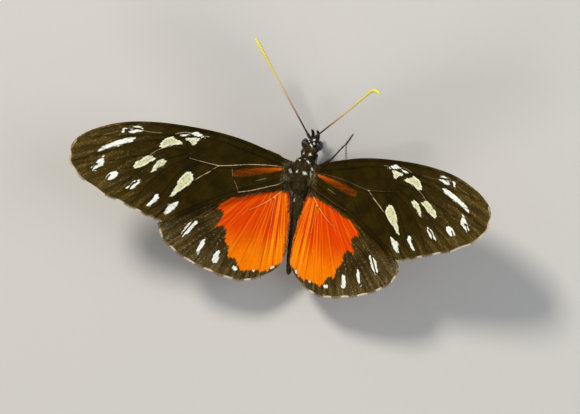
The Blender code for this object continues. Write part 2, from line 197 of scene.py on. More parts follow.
def meshOf(bm, name):
    mesh = bpy.data.meshes.new(name)
    bm.to_mesh(mesh)
    bm.free()
    return mesh


def smoothed(mesh):
    mesh.polygons.foreach_set("use_smooth", [True] * len(mesh.polygons))
    return mesh


def setPoints(mesh, **layers):
    # Named values at each point of a mesh, one or three to a point.
    for name, values in layers.items():
        values = np.asarray(values, dtype=np.float32)
        kind, key = ("FLOAT", "value") if values.ndim == 1 else ("FLOAT_VECTOR", "vector")
        attribute = mesh.attributes.get(name) or mesh.attributes.new(name, kind, "POINT")
        attribute.data.foreach_set(key, values.ravel())


def setMap(mesh, name, coords):
    # A texture map, with a pair for each corner.
    layer = mesh.uv_layers.get(name) or mesh.uv_layers.new(name=name)
    layer.data.foreach_set("uv", np.asarray(coords, dtype=np.float32).ravel())


def readRows(items, key):
    # A vector of each item, as the rows of an array.
    values = np.zeros(len(items) * 3, dtype=np.float32)
    items.foreach_get(key, values)
    return values.reshape(-1, 3)


def cornerPoints(mesh):
    # The point that each corner stands at.
    corners = np.zeros(len(mesh.loops), dtype=np.int32)
    mesh.loops.foreach_get("vertex_index", corners)
    return corners


def joined(name, pieces):
    first = pieces[0]
    with bpy.context.temp_override(active_object=first, object=first, selected_objects=pieces,
                                   selected_editable_objects=pieces):
        bpy.ops.object.join()
    first.name = name
    return first


def finished(piece, slotName, *nodes):
    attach(piece, "root")
    if nodes:
        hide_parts(*nodes)


def smoothPath(points, step, comingFrom=None, goingTo=None):
    # A Catmull-Rom curve through the points, cut into pieces of about the given step.
    # Where a neighbour point beyond an end is given, the curve runs on smoothly towards it.
    path = [Vector(point) for point in points]
    first = Vector(comingFrom) if comingFrom else path[0] * 2 - path[1]
    last = Vector(goingTo) if goingTo else path[-1] * 2 - path[-2]
    ends = [first] + path + [last]
    result = []
    for index in range(1, len(ends) - 2):
        before, start, end, after = ends[index - 1:index + 3]
        count = max(1, round((end - start).length / step))
        for part in range(count):
            t = part / count
            result.append(0.5 * ((2 * start) + (end - before) * t
                                 + (2 * before - 5 * start + 4 * end - after) * t ** 2
                                 + (3 * start - before - 3 * end + after) * t ** 3))
    result.append(path[-1])
    return result


def valueAt(table, share):
    # Straight-line lookup in a short list of (share, value) pairs.
    return float(np.interp(share, [row[0] for row in table], [row[1] for row in table]))


# Camera, floor and light

view = {
    "back": (-0.27256, -0.01476, 0.96203),  # from the animal towards the camera
    "up": (0.17116, -0.98468, 0.03339),
    "aim": (0.811, 6.700, 8.333),  # mm, what the middle of the picture looks at
    "seenWidth": 109.43,  # mm across the picture at the aim
    "distance": 2400.0,
    "sensor": 36.0,
    "clip": (0.01, 20.0),  # metres
}


def viewAxes():
    # The picture's right, its up and the way back to the camera.
    back = Vector(view["back"]).normalized()
    up = Vector(view["up"]).normalized()
    return up.cross(back).normalized(), up, back


def makeCamera():
    right, up, back = viewAxes()
    turn = Matrix((right, up, back)).transposed().to_4x4()
    place = (Vector(view["aim"]) + originShift + back * view["distance"]) * mm
    data = bpy.data.cameras.new("camera")
    data.sensor_width = view["sensor"]
    data.lens = view["sensor"] * view["distance"] / view["seenWidth"]
    data.clip_start, data.clip_end = view["clip"]
    holder = newPiece("camera", data)
    holder.matrix_world = Matrix.Translation(place) @ turn
    bpy.context.scene.camera = holder


studio = {
    "floorSize": 7.0, "floorTone": (205, 204, 200), "floorRoughness": 0.75,
    "grainTone": (190, 189, 186), "grainRate": 900.0, "grainShare": 0.15,
    "worldTone": (225, 230, 238), "worldLight": 0.28,
    "lamps": {  # place and size in metres, power in watts
        "key": {"place": (0.28, -0.42, 0.62), "size": 0.2, "power": 4.6, "tone": (255, 247, 235)},
        "fill": {"place": (-0.55, -0.1, 0.5), "size": 0.5, "power": 1.6, "tone": (235, 242, 255)},
        "rim": {"place": (0.05, 0.6, 0.4), "size": 0.3, "power": 1.5, "tone": (255, 250, 240)},
    },
}


def makeStudio():
    mesh = bpy.data.meshes.new("floor")
    half = studio["floorSize"] / 2
    corners = [(-half, -half, 0), (half, -half, 0), (half, half, 0), (-half, half, 0)]
    mesh.from_pydata(corners, [], [(0, 1, 2, 3)])
    floor = newPiece("floor", mesh)
    material, shader, wires = newFinish("pale_floor", {"Roughness": studio["floorRoughness"]})
    grain = noiseOf(wires, positionOf(wires), studio["grainRate"], 3.0) * studio["grainShare"]
    mixed(grain, tone(*studio["floorTone"]), tone(*studio["grainTone"])).into(shader, "Base Color")
    mesh.materials.append(material)
    for name, lamp in studio["lamps"].items():
        data = bpy.data.lights.new(name, "AREA")
        data.shape = "DISK"
        data.size = lamp["size"]
        data.energy = lamp["power"]
        data.color = tone(*lamp["tone"])[:3]
        holder = newPiece(name, data)
        holder.location = lamp["place"]
        holder.rotation_mode = "QUATERNION"
        holder.rotation_quaternion = Vector(lamp["place"]).to_track_quat("Z", "Y")
    world = bpy.data.worlds.new("studio")
    world.use_nodes = True
    background = world.node_tree.nodes["Background"].inputs
    background["Color"].default_value = tone(*studio["worldTone"])
    background["Strength"].default_value = studio["worldLight"]
    bpy.context.scene.world = world


bpy.context.scene.view_settings.view_transform = "Standard"
makeCamera()
makeStudio()
print("camera, floor and light set")


# Trees that the pieces share

coatVary = {"size": (0.7, 1.2), "rise": (0.5, 1.5), "patch": 0.003}  # patch: a blade's size on the map


def tubeTree():
    # A round rod along a path of edges, as thick as its girth attribute.
    wires, inputs = newTree("rod_along_path", Sides="Int", Material="Material")
    path = wires.make("GeometryNodeMeshToCurve", {}, {"Mesh": inputs["Geometry"]})
    ring = wires.make("GeometryNodeCurvePrimitiveCircle", {"mode": "RADIUS"},
                      {"Resolution": inputs["Sides"], "Radius": mm})
    rod = wires.make("GeometryNodeCurveToMesh", {}, {
        "Curve": path, "Profile Curve": ring, "Scale": named(wires, "girth"), "Fill Caps": True})
    smooth = wires.make("GeometryNodeSetShadeSmooth", {}, {"Geometry": rod})
    return endTree(wires, smooth, inputs["Material"])


def turnedBy(wires, axes, first, second):
    # The turn that points two of a blade's axes along two directions.
    settings = {"primary_axis": axes[0], "secondary_axis": axes[1]}
    return wires.make("FunctionNodeAxesToRotation", settings, {0: first, 1: second})


def drawn(wires, low, high, seed):
    # A random number for each point.
    return wires.make("FunctionNodeRandomValue", {"data_type": "FLOAT"}, {2: low, 3: high, "Seed": seed}, 1)


def bladesOn(wires, inputs, points, turned, width, length, height):
    size = wires.make("ShaderNodeCombineXYZ", {}, {"X": width, "Y": length, "Z": height})
    blade = wires.make("GeometryNodeObjectInfo", {"transform_space": "ORIGINAL"},
                       {"Object": inputs["Blade"]}, "Geometry")
    return wires.make("GeometryNodeInstanceOnPoints", {}, {
        "Points": points, "Instance": blade, "Rotation": turned, "Scale": size})


def coatTree():
    # Blades over a skin: they lie along its lie attribute and are as long as its hair attribute.
    wires, inputs = newTree("blades_on_skin", Blade="Object", Density="Float", Width="Float", Lift="Float",
                            Stray="Float", Seed="Int", Material="Material")
    seed = inputs["Seed"]
    points = wires.make("GeometryNodeDistributePointsOnFaces", {"distribute_method": "RANDOM"}, {
        "Mesh": inputs["Geometry"], "Density": named(wires, "cover") * inputs["Density"], "Seed": seed})
    facing = turnedBy(wires, "ZY", points.sibling("Normal"), named(wires, "lie", "FLOAT_VECTOR"))
    stray = drawn(wires, inputs["Stray"] * -1.0, inputs["Stray"], seed)
    swing = wires.make("ShaderNodeCombineXYZ", {}, {"Z": stray})
    turned = wires.make("FunctionNodeRotateRotation", {"rotation_space": "LOCAL"}, {0: facing, 1: swing})
    vary = drawn(wires, *coatVary["size"], seed + 7)
    rise = drawn(wires, *coatVary["rise"], seed + 13)
    length = named(wires, "hair") * vary
    grown = bladesOn(wires, inputs, points, turned, inputs["Width"] * vary, length,
                     length * rise * inputs["Lift"])
    flat = wires.make("GeometryNodeRealizeInstances", {}, {"Geometry": grown})
    patch = wires.make("ShaderNodeVectorMath", {"operation": "SCALE"}, {
        0: named(wires, "bladePlace", "FLOAT_VECTOR"), "Scale": coatVary["patch"]})
    where = wires.make("ShaderNodeVectorMath", {"operation": "ADD"}, {
        0: named(wires, "skinPlace", "FLOAT_VECTOR"), 1: patch})
    mapped = wires.make("GeometryNodeStoreNamedAttribute", {"data_type": "FLOAT2", "domain": "CORNER"},
                        {"Geometry": flat, "Name": "OFBake", "Value": where})
    return endTree(wires, mapped, inputs["Material"])


def growTree():
    # One blade at each point, along its aim and upward attributes, as long as hair and as wide as breadth.
    wires, inputs = newTree("blades_on_points", Blade="Object", Material="Material")
    turned = turnedBy(wires, "YZ", *[named(wires, key, "FLOAT_VECTOR") for key in ("aim", "upward")])
    length = named(wires, "hair")
    points = wires.make("GeometryNodeMeshToPoints", {}, {"Mesh": inputs["Geometry"]})
    grown = bladesOn(wires, inputs, points, turned, named(wires, "breadth"), length, length)
    return endTree(wires, grown, inputs["Material"])


rodTree = tubeTree()
furTree = coatTree()
rowTree = growTree()


def bladePiece(name, profile, thickness, arch):
    # A flat tapered blade a unit long along +Y: profile gives (share, half width), arch its height.
    droop = 0.75
    bm = bmesh.new()
    rings = []
    for share, half in profile:
        height = arch * (share - share ** 2 * droop)
        rings.append([bm.verts.new((side * half, share, height + lift * thickness * (1 - share)))
                      for side, lift in ((-1, 0), (0, 1), (1, 0))])
    for low, high in zip(rings, rings[1:]):
        for index in range(2):
            bm.faces.new((low[index], low[index + 1], high[index + 1], high[index]))
    bmesh.ops.remove_doubles(bm, verts=bm.verts, dist=1e-5)
    mesh = smoothed(meshOf(bm, name))
    setPoints(mesh, bladePlace=[(vert.co.x * 0.5, vert.co.y - 0.5, 0.0) for vert in mesh.vertices],
              tipward=[vert.co.y for vert in mesh.vertices])
    return newPiece(name, mesh)


# Wings

wing = {  # lengths in mm, the raise in degrees
    "hingeX": 1.73, "hingeZ": 8.0, "dihedral": 17.8, "span": 42.0, "chord": 18.0, "chordMiddle": -3.0,
    "tipRise": 0.6, "chordDrop": 0.3, "membrane": 0.12, "edgeShare": 0.35, "edgeReach": 0.5,
    "rootThickness": 0.5, "rootTaper": 3.0, "rootReach": 0.9,
    "gridStep": 0.3, "rowShare": 0.866, "outlineClear": 0.55, "lineClear": 0.5,
    "outlineStep": 0.4, "fringeStep": 0.075, "scallop": 0.22,
    "freeFrom": 5.0, "pleatDepth": 0.11, "pleatWidth": 0.8, "waveHeight": 0.12, "waveLength": 6.0,
    "veinGirth": (0.14, 0.055), "veinStart": 0.4, "veinStep": 0.5, "veinSides": 8,
    "faintHighlight": 0.09, "splitDepth": 0.3, "splitSlope": 2.6, "farAway": 9.0,
}

forewing = {
    "lead": [(0.35, 1.7), (4.8, 3.15), (11.2, 4.65), (18.7, 5.3), (27.0, 5.1), (34.0, 3.8), (39.9, 0.9),
             (42.0, -2.3)],
    "outer": [(42.0, -2.3), (40.65, -6.2), (35.55, -9.3), (29.9, -11.15), (25.5, -12.55), (22.8, -13.2)],
    "hind": [(22.8, -13.2), (21.0, -12.75), (17.2, -10.4), (11.8, -7.2), (6.8, -4.9), (2.4, -3.2),
             (0.35, -1.8)],
    "veins": [
        [(1.0, 1.35), (7.0, 3.3), (15.0, 4.6), (23.0, 4.85), (31.0, 4.1), (37.0, 2.1)],
        [(1.0, 0.7), (8.7, 2.3), (13.8, 3.4), (20.0, 3.5), (26.0, 2.75), (33.0, 1.45), (39.6, 0.3)],
        [(1.0, -0.25), (7.0, -0.9), (13.8, -1.4), (19.6, -0.7)],
        [(20.6, 3.3), (20.1, 0.8), (19.6, -0.7)],
        [(20.6, 3.1), (25.5, 1.9), (30.0, 0.7), (36.0, -2.3), (41.0, -4.4)],
        [(20.1, 0.9), (24.5, 0.3), (27.0, -1.0), (32.0, -2.7), (36.5, -4.4), (39.2, -7.0)],
        [(19.9, 0.2), (25.2, -2.1), (29.0, -5.0), (33.2, -9.9)],
        [(19.7, -0.6), (23.0, -2.8), (25.8, -5.8), (29.2, -11.1)],
        [(17.0, -1.0), (20.8, -3.5), (23.3, -7.6), (25.8, -12.2)],
        [(13.8, -1.4), (17.8, -4.5), (21.3, -8.6), (23.9, -12.5)],
        [(1.0, -1.2), (6.0, -3.6), (12.0, -6.3), (18.0, -9.9), (21.6, -12.2)],
    ],
    # Painted highlight along the raised veins and the forewing's hind edge, with painted shade beside it in
    # the warm streak.
    "veinHighlights": [  # how strong each is on the left and the right wing, and its points
        (1.0, 0.35, [(0.9, 0.6), (4.3, 0.45), (8.1, 0.0), (11.2, -0.65), (13.8, -1.15)]),
        (0.85, 0.3, [(13.8, -1.15), (17.0, -0.88), (19.5, -0.6)]),
        (0.8, 1.0, [(13.8, -1.15), (16.0, -3.05), (18.2, -4.75)]),
        (1.0, 0.9, [(24.3, 0.75), (25.7, -0.1), (26.9, -1.1)]),
        (1.0, 0.3, [(1.2, -2.2), (2.4, -2.95), (3.8, -3.5), (5.4, -4.15), (7.2, -4.85), (9.4, -5.5)]),
        (0.9, 0.6, [(16.4, 3.95), (18.6, 3.95), (20.9, 4.1), (22.8, 3.5)]),
        (0.5, 0.2, [(11.3, -1.2), (10.9, -2.65)]),
        (0.5, 0.2, [(10.5, -3.5), (9.9, -4.4), (9.4, -5.45)]),
        (0.5, 0.5, [(4.6, -2.1), (6.6, -2.9)]),
        (0.5, 0.5, [(33.5, 2.35), (34.9, 1.75), (36.4, 1.1)]),
        (0.6, 0.3, [(25.4, 3.25), (27.7, 3.1), (29.2, 3.2)]),
        (0.5, 0.5, [(36.0, -9.0), (35.0, -7.6), (34.2, -6.8)]),
    ],
    # Lengths in mm and sweep in degrees; the under face's place on the map in shares of it
    "drop": 0.0, "sweep": {"left": -0.85, "right": 0.85}, "reach": 42.0, "wave": 1.0,
    "fanCentre": (0.0, 14.0), "fanRadius": 26.0, "rimFrom": 36.0, "fringeLength": 0.42, "hairReach": 1.7,
    "mapLow": (-1.2, -14.2), "mapSpan": 44.6, "underScale": 1.0, "underAt": (0.004, 0.5),
}

# Marks as closed outlines in wing millimetres: outward from the hinge, then forward of it.
forewingMarks = {
    "cream": [
        [(18.35, 3.4), (21.3, 3.1), (20.0, 2.4), (19.6, 1.95), (18.95, 2.05), (18.75, 2.75)],
        [(21.2, 1.9), (22.4, 2.45), (23.4, 2.85), (24.6, 2.55), (25.2, 1.85), (25.7, 0.75), (25.1, 0.55),
         (23.8, 1.1), (22.4, 1.6)],
        [(25.95, -1.75), (26.8, -1.2), (28.2, -1.75), (29.3, -2.65), (30.1, -3.8), (29.5, -4.2), (28.4, -3.6),
         (27.1, -2.6)],
        [(23.8, -1.7), (24.4, -1.6), (25.4, -1.95), (26.05, -2.55), (26.1, -3.3), (26.7, -4.4), (26.2, -4.2),
         (25.2, -3.35), (24.3, -2.5)],
        [(18.5, -5.0), (18.5, -4.2), (18.75, -3.4), (19.35, -3.1), (20.05, -3.35), (20.6, -4.1),
         (21.15, -5.2), (21.6, -6.6), (22.25, -8.3), (21.8, -8.1), (20.7, -7.1), (19.5, -5.95)],
    ],
    "white": [
        [(17.2, 3.7), (18.1, 4.15), (18.9, 4.45), (20.0, 4.15), (19.8, 3.85), (18.6, 3.7)],
        [(20.0, 3.8), (21.2, 3.75), (22.3, 3.5), (21.5, 3.4), (20.3, 3.55)],
        [(20.4, -9.1), (21.2, -9.35), (22.1, -9.8), (22.65, -10.65), (23.0, -11.6), (22.6, -11.95),
         (21.8, -11.3), (20.9, -10.2)],
        [(24.3, -8.75), (24.5, -8.3), (25.0, -8.45), (25.7, -9.25), (26.1, -10.1), (26.2, -10.7),
         (25.8, -10.7), (25.2, -10.1), (24.5, -9.35)],
        [(28.2, -6.0), (28.8, -6.35), (29.4, -6.4), (30.0, -7.1), (30.7, -8.05), (30.9, -9.1), (30.2, -8.3),
         (29.0, -7.6), (28.4, -6.8)],
        [(32.6, -5.4), (33.0, -5.15), (33.6, -5.25), (34.2, -5.95), (34.9, -6.8), (35.0, -7.1), (34.4, -7.1),
         (33.9, -6.95), (33.2, -6.45), (32.7, -5.9)],
        [(35.7, -2.75), (36.7, -3.65), (37.3, -4.5), (37.8, -5.25), (37.5, -5.9), (37.0, -5.7), (36.3, -5.0),
         (35.6, -4.45), (35.5, -3.65)],
        [(30.3, 1.85), (31.8, 1.35), (33.2, 0.73), (34.5, 0.1), (35.7, -0.6), (36.9, -1.6), (37.0, -2.05),
         (35.7, -1.4), (34.5, -0.87), (33.4, -0.5), (32.4, 0.15), (31.3, 0.7), (30.5, 1.45)],
        [(29.3, 3.45), (29.3, 3.75), (30.3, 3.8), (31.4, 3.65), (32.1, 3.2), (31.5, 3.3), (30.4, 3.5)],
        [(29.2, 3.1), (29.8, 3.25), (30.6, 3.3), (31.5, 3.05), (32.0, 2.45), (31.2, 2.45), (30.1, 2.7)],
        [(32.4, 2.85), (32.3, 3.35), (32.8, 3.0), (33.3, 2.25), (32.9, 2.2)],
    ],
    "splits": [  # thin dark lines through the white marks
        [(26.1, -10.55), (25.6, -9.7), (25.05, -8.95)],
        [(30.6, -9.0), (29.85, -7.9), (29.3, -7.15), (28.65, -6.45)],
        [(34.5, -7.35), (34.2, -6.75), (33.8, -6.1)],
        [(37.55, -5.85), (37.15, -5.1), (36.5, -4.35)],
        [(29.3, 3.35), (30.5, 3.4), (31.6, 3.15), (32.2, 2.75)],
    ],
    "warm": [[(1.4, 0.5), (3.3, 0.2), (5.7, -0.2), (7.9, -0.7), (9.8, -1.1), (11.4, -1.6), (11.1, -2.6),
              (9.5, -2.4), (7.7, -1.95), (5.9, -1.4), (4.1, -0.8), (2.3, 0.0)]],
}

hindwing = {
    "lead": [(-0.1, -1.3), (1.6, -1.3), (6.0, -3.1), (14.0, -7.4), (21.2, -12.1), (22.8, -14.2)],
    "outer": [(22.8, -14.2), (21.2, -17.3), (16.2, -20.1), (9.0, -21.9), (5.0, -21.9), (1.9, -20.6)],
    "hind": [(1.9, -20.6), (-0.8, -18.4), (-1.65, -15.5), (-1.55, -10.9), (-1.0, -7.0), (-0.45, -4.2),
             (-0.1, -3.0)],
    "veins": [
        [(0.9, -1.9), (6.0, -3.9), (13.0, -7.6), (19.0, -11.4), (22.1, -14.3)],
        [(0.9, -2.6), (6.9, -8.2), (13.5, -11.9), (20.6, -17.3)],
        [(6.7, -8.1), (12.3, -13.6), (17.6, -18.8)],
        [(6.2, -7.6), (10.8, -15.2), (13.6, -20.3)],
        [(5.2, -6.7), (8.2, -14.8), (9.9, -21.2)],
        [(4.0, -5.7), (5.6, -13.5), (6.1, -21.5)],
        [(2.6, -4.4), (3.1, -12.8), (2.9, -20.8)],
        [(0.6, -3.6), (0.6, -9.5), (0.7, -18.9)],
    ],
    # Painted highlight along the raised veins near the root, with painted shade beside it in the warm patch.
    "veinHighlights": [
        (1.0, 1.0, [(1.0, -3.9), (1.9, -4.9), (3.4, -6.4), (4.9, -7.6), (6.6, -8.7)]),
        (0.5, 0.5, [(4.6, -4.9), (6.4, -5.7), (8.4, -6.4)]),
        (0.5, 0.5, [(2.0, -5.6), (2.1, -8.0), (2.0, -11.0)]),
    ],
    "drop": 1.2, "sweep": {"left": 0.9, "right": -0.9}, "reach": 21.6, "wave": 5.0,
    "fanCentre": (1.6, 0.5), "fanRadius": 14.0, "rimFrom": 22.0, "fringeLength": 0.45, "hairReach": 1.2,
    "mapLow": (-2.2, -23.0), "mapSpan": 42.0, "underScale": 0.66, "underAt": (0.61, 0.004),
    # Folds like a fan near the body: inside and behind these places, and over how many mm they grow
    "folds": {"inside": 3.0, "behind": -4.0, "grow": (2.0, 3.0), "height": 0.07, "rate": 7.0},
}

hindwingMarks = {
    "cream": [
        [(3.2, -19.6), (3.7, -19.6), (4.1, -19.85), (3.7, -20.0)],
        [(0.0, -18.0), (0.5, -18.3), (0.9, -18.8), (0.6, -18.9), (0.1, -18.5)],
    ],
    "white": [
        [(15.8, -12.5), (16.8, -12.8), (17.5, -13.3), (18.0, -14.2), (18.4, -15.4), (18.15, -15.9),
         (17.3, -15.2), (16.5, -14.0), (16.0, -13.1)],
        [(13.9, -15.5), (14.45, -15.9), (14.95, -16.9), (15.3, -17.9), (15.2, -18.7), (14.7, -18.75),
         (14.3, -17.9), (13.85, -16.6)],
        [(10.6, -17.2), (11.2, -17.4), (11.65, -18.25), (11.9, -19.3), (11.6, -19.7), (11.0, -19.6),
         (10.65, -18.5)],
        [(7.7, -19.3), (8.0, -19.9), (7.7, -20.35), (7.2, -20.45), (6.95, -20.05), (7.2, -19.8)],
    ],
    "splits": [
        [(16.4, -12.8), (17.2, -14.0), (18.1, -15.8)],
        [(14.2, -15.6), (14.7, -17.0), (15.0, -18.6)],
    ],
    "warm": [[(-0.5, -3.7), (1.0, -3.85), (2.2, -4.2), (4.2, -4.9), (6.0, -5.45), (8.0, -6.25), (10.0, -6.85),
              (11.5, -7.8), (12.4, -8.7), (12.8, -9.4), (11.5, -9.7), (11.3, -10.3), (11.8, -11.6),
              (12.35, -12.9), (11.3, -12.6), (10.35, -13.0), (10.15, -14.0), (10.2, -15.1), (9.4, -15.9),
              (9.1, -16.8), (9.1, -17.9), (8.7, -18.3), (7.9, -17.9), (7.5, -18.4), (6.8, -19.35),
              (6.1, -20.2), (5.7, -20.45), (5.2, -19.85), (4.3, -19.75), (3.5, -19.55), (2.4, -19.65),
              (1.2, -19.2), (0.2, -18.2), (-0.7, -17.8), (-2.2, -17.0), (-2.6, -12.0), (-2.0, -4.0)]],
}

markShift = {"left": (-0.22, -0.05), "right": (-0.05, -0.08)}  # the two wings' marks aren't quite alike


def scalloped(margin, ends):
    # The margin steps inward between the vein ends.
    marks = sorted(min(range(len(margin)), key=lambda i: (margin[i] - end).length) for end in ends)
    marks = [0] + [mark for mark in marks if 0 < mark < len(margin) - 1] + [len(margin) - 1]
    result = [margin[0]]
    for low, high in zip(marks, marks[1:]):
        for index in range(low + 1, min(high + 1, len(margin) - 1)):
            along = (margin[index + 1] - margin[index - 1]).normalized()
            depth = wing["scallop"] * math.sin(math.pi * (index - low) / (high - low)) ** 2
            result.append(margin[index] + Vector((along.y, -along.x)) * depth)
    return result + [margin[-1]]


def segmentDistance(points, start, end):
    # Distance from each point to the straight line between two places.
    along = end - start
    share = np.clip(((points - start) @ along) / max(along @ along, 1e-12), 0, 1)
    return np.linalg.norm(points - start - share[:, None] * along, axis=1)


def lineDistance(points, lines, closed=False):
    # Distance from each point to the nearest of some lines.
    best = np.full(len(points), 1e9)
    for line in lines:
        corners = [np.array(tuple(corner)[:2]) for corner in line]
        corners += corners[:1] if closed else []
        for start, end in zip(corners, corners[1:]):
            best = np.minimum(best, segmentDistance(points, start, end))
    return best


def insideOf(points, outline):
    inside = np.zeros(len(points), bool)
    corners = [tuple(corner)[:2] for corner in outline]
    for (x0, y0), (x1, y1) in zip(corners, corners[1:] + corners[:1]):
        if y0 == y1:
            continue
        crosses = (points[:, 1] > y0) != (points[:, 1] > y1)
        inside ^= crosses & (points[:, 0] < (x1 - x0) * (points[:, 1] - y0) / (y1 - y0) + x0)
    return inside


def markDistance(points, outlines, shift):
    # Signed distance to the nearest mark, negative inside it.
    best = np.full(len(points), wing["farAway"])
    for outline in outlines:
        moved = [(x + shift[0], y + shift[1]) for x, y in outline]
        away = lineDistance(points, [moved], closed=True)
        best = np.minimum(best, np.where(insideOf(points, moved), -away, away))
    return best


def flowOf(points, plan):
    # Across and along the way that the wing's scales and folds run.
    away = points - np.array(plan["fanCentre"])
    return np.arctan2(away[:, 0], -away[:, 1]) * plan["fanRadius"], np.linalg.norm(away, axis=1)


def wingHeight(points, veinNear, plan):
    # The height of the middle of the membrane: camber, pleats between the veins and slow waves.
    u, v = points[:, 0], points[:, 1]
    height = wing["tipRise"] * (u / wing["span"]) ** 2
    height = height - wing["chordDrop"] * ((v - wing["chordMiddle"]) / wing["chord"]) ** 2
    free = np.clip(u / wing["freeFrom"], 0, 1)
    height = height - free * wing["pleatDepth"] * (1 - np.exp(-(veinNear / wing["pleatWidth"]) ** 2))
    waves = [noise.noise(Vector((x, y, plan["wave"])) / wing["waveLength"]) for x, y in points]
    height = height + free * wing["waveHeight"] * np.array(waves)
    if "folds" in plan:
        folds = plan["folds"]
        folded = np.clip((folds["inside"] - u) / folds["grow"][0], 0, 1)
        folded = folded * np.clip((folds["behind"] - v) / folds["grow"][1], 0, 1)
        height = height + folded * folds["height"] * np.sin(flowOf(points, plan)[0] * folds["rate"])
    return height


def placed(points, heights, side, plan):
    # Wing millimetres to metres in the frame.
    sign = mirrored[side]
    sweep = -sign * math.radians(plan["sweep"][side])
    tilt = -sign * math.radians(wing["dihedral"])
    x = sign * points[:, 0]
    y = -points[:, 1]
    z = heights - plan["drop"]
    turnedX = x * math.cos(sweep) - y * math.sin(sweep)
    turnedY = x * math.sin(sweep) + y * math.cos(sweep)
    result = np.stack([turnedX * math.cos(tilt) + z * math.sin(tilt) + sign * wing["hingeX"], turnedY,
                       -turnedX * math.sin(tilt) + z * math.cos(tilt) + wing["hingeZ"]], axis=1)
    return (result + np.array(originShift)) * mm


def wingOutline(plan):
    step = wing["outlineStep"]
    margin = smoothPath(plan["outer"], step, comingFrom=plan["lead"][-2])
    margin = scalloped(margin, [Vector(vein[-1]) for vein in plan["veins"]])
    lead = smoothPath(plan["lead"], step, goingTo=plan["outer"][1])
    hind = smoothPath(plan["hind"], step)
    root = [hind[-1] - Vector((wing["rootReach"], -0.1)), lead[0] - Vector((wing["rootReach"], 0.3))]
    return lead[:-1] + margin[:-1] + hind + root, lead + margin + hind


def wingSheet(plan):
    # Points and triangles of the flat wing, fine enough to carry the marks.
    outline, shown = wingOutline(plan)
    step = wing["gridStep"]
    flat = np.array([tuple(point) for point in outline])
    low = flat.min(axis=0)
    high = flat.max(axis=0)
    rows = []
    for row in range(int((high[1] - low[1]) / (step * wing["rowShare"]))):
        y = low[1] + (row + 0.5) * step * wing["rowShare"]
        xs = np.arange(low[0] + (row % 2) * step / 2, high[0], step)
        rows.append(np.stack([xs, np.full(len(xs), y)], axis=1))
    grid = np.concatenate(rows)
    grid = grid[insideOf(grid, outline)]
    grid = grid[lineDistance(grid, [outline], closed=True) > step * wing["outlineClear"]]
    grid = grid[lineDistance(grid, plan["drawnLines"]) > step * wing["lineClear"]]
    points = [Vector(point) for point in flat]
    edges = [(index, (index + 1) % len(outline)) for index in range(len(outline))]
    for line in plan["drawnLines"]:
        edges += [(len(points) + index, len(points) + index + 1) for index in range(len(line) - 1)]
        points += line
    points += [Vector(point) for point in grid]
    sheet, _, triangles, *_ = delaunay_2d_cdt(points, edges, [], 1, 1e-5)
    return np.array([tuple(point) for point in sheet]), triangles, shown


def dressed(mesh, points, plan, side, under):
    # What the finish reads, at each point of a wing mesh.
    marks = plan["marks"]
    veinNear = lineDistance(points, plan["veinLines"])
    across, along = flowOf(points, plan)
    # Distance to the painted vein highlights, pushed further off where a wing's highlight is weaker.
    pale = [lineDistance(points, [line]) + wing["faintHighlight"] * (1 - strong[side])
            for strong, line in plan["paleLines"]]
    cream, white, warm = [markDistance(points, marks[kind], markShift[side])
                          for kind in ("cream", "white", "warm")]
    split = wing["splitDepth"] - wing["splitSlope"] * lineDistance(points, marks["splits"])
    setPoints(mesh, wingPlace=np.column_stack([points, under]),
              flow=np.column_stack([across, along, veinNear]), veinNear=veinNear,
              paleVein=np.min(pale, axis=0), edgeNear=lineDistance(points, [plan["shown"]]),
              rimNear=lineDistance(points, [plan["rimLine"]]), creamMark=cream,
              whiteMark=np.maximum(white, split), warmMark=warm)


def wingMembrane(name, plan, side):
    # Two skins of the same sheet, thicker at the root and thin at the edge, and a band between them.
    sheet, triangles, shown = plan["sheet"]
    middle = wingHeight(sheet, lineDistance(sheet, plan["veinLines"]), plan)
    swell = np.clip(1 - sheet[:, 0] / wing["rootTaper"], 0, 1) ** 2
    thin = np.clip(lineDistance(sheet, [shown]) / wing["edgeReach"], 0, 1)
    thin = wing["edgeShare"] + (1 - wing["edgeShare"]) * thin
    half = (wing["membrane"] + (wing["rootThickness"] - wing["membrane"]) * swell) / 2 * thin
    places = [placed(sheet, middle + part, side, plan) for part in (half, -half)]
    count = len(sheet)
    flip = mirrored[side] < 0
    faces = [tuple(face) if flip else tuple(reversed(face)) for face in triangles]
    faces += [tuple(count + index for index in reversed(face)) for face in faces]
    edges = dict.fromkeys(edge for face in triangles for edge in zip(face, list(face[1:]) + [face[0]]))
    faces += [(a, b, b + count, a + count) if flip else (b, a, a + count, b + count)
              for a, b in edges if (b, a) not in edges]
    mesh = bpy.data.meshes.new(name)
    mesh.from_pydata(np.concatenate(places).tolist(), [], faces)
    bm = bmesh.new()
    bm.from_mesh(mesh)
    bmesh.ops.recalc_face_normals(bm, faces=bm.faces)
    bm.to_mesh(mesh)
    bm.free()
    smoothed(mesh)
    mesh.materials.append(plan["finish"])
    dressed(mesh, np.concatenate([sheet, sheet]), plan, side, [0.0] * count + [1.0] * count)
    return newPiece(name, mesh)


def wingVeins(name, plan, side):
    # Veins stand out of both faces as round ribs that taper outward.
    points = []
    girths = []
    edges = []
    thick, fine = wing["veinGirth"]
    for line in plan["veinLines"]:
        first, total = len(points), len(line) - 1
        for index, point in enumerate(line):
            reach = (point.x if plan is forewing else -point.y) / plan["reach"]
            along = wing["veinStart"] + (1 - wing["veinStart"]) * index / total
            points.append(tuple(point))
            girths.append(thick + (fine - thick) * min(1.0, max(0.0, reach)) * along)
        edges += [(first + index, first + index + 1) for index in range(total)]
    flat = np.array(points)
    height = wingHeight(flat, np.zeros(len(flat)), plan)
    mesh = bpy.data.meshes.new(name)
    mesh.from_pydata(placed(flat, height, side, plan).tolist(), edges, [])
    setPoints(mesh, girth=girths)
    dressed(mesh, flat, plan, side, [0.0] * len(flat))
    return applyTree(newPiece(name, mesh), rodTree, {"Sides": wing["veinSides"], "Material": plan["finish"]})


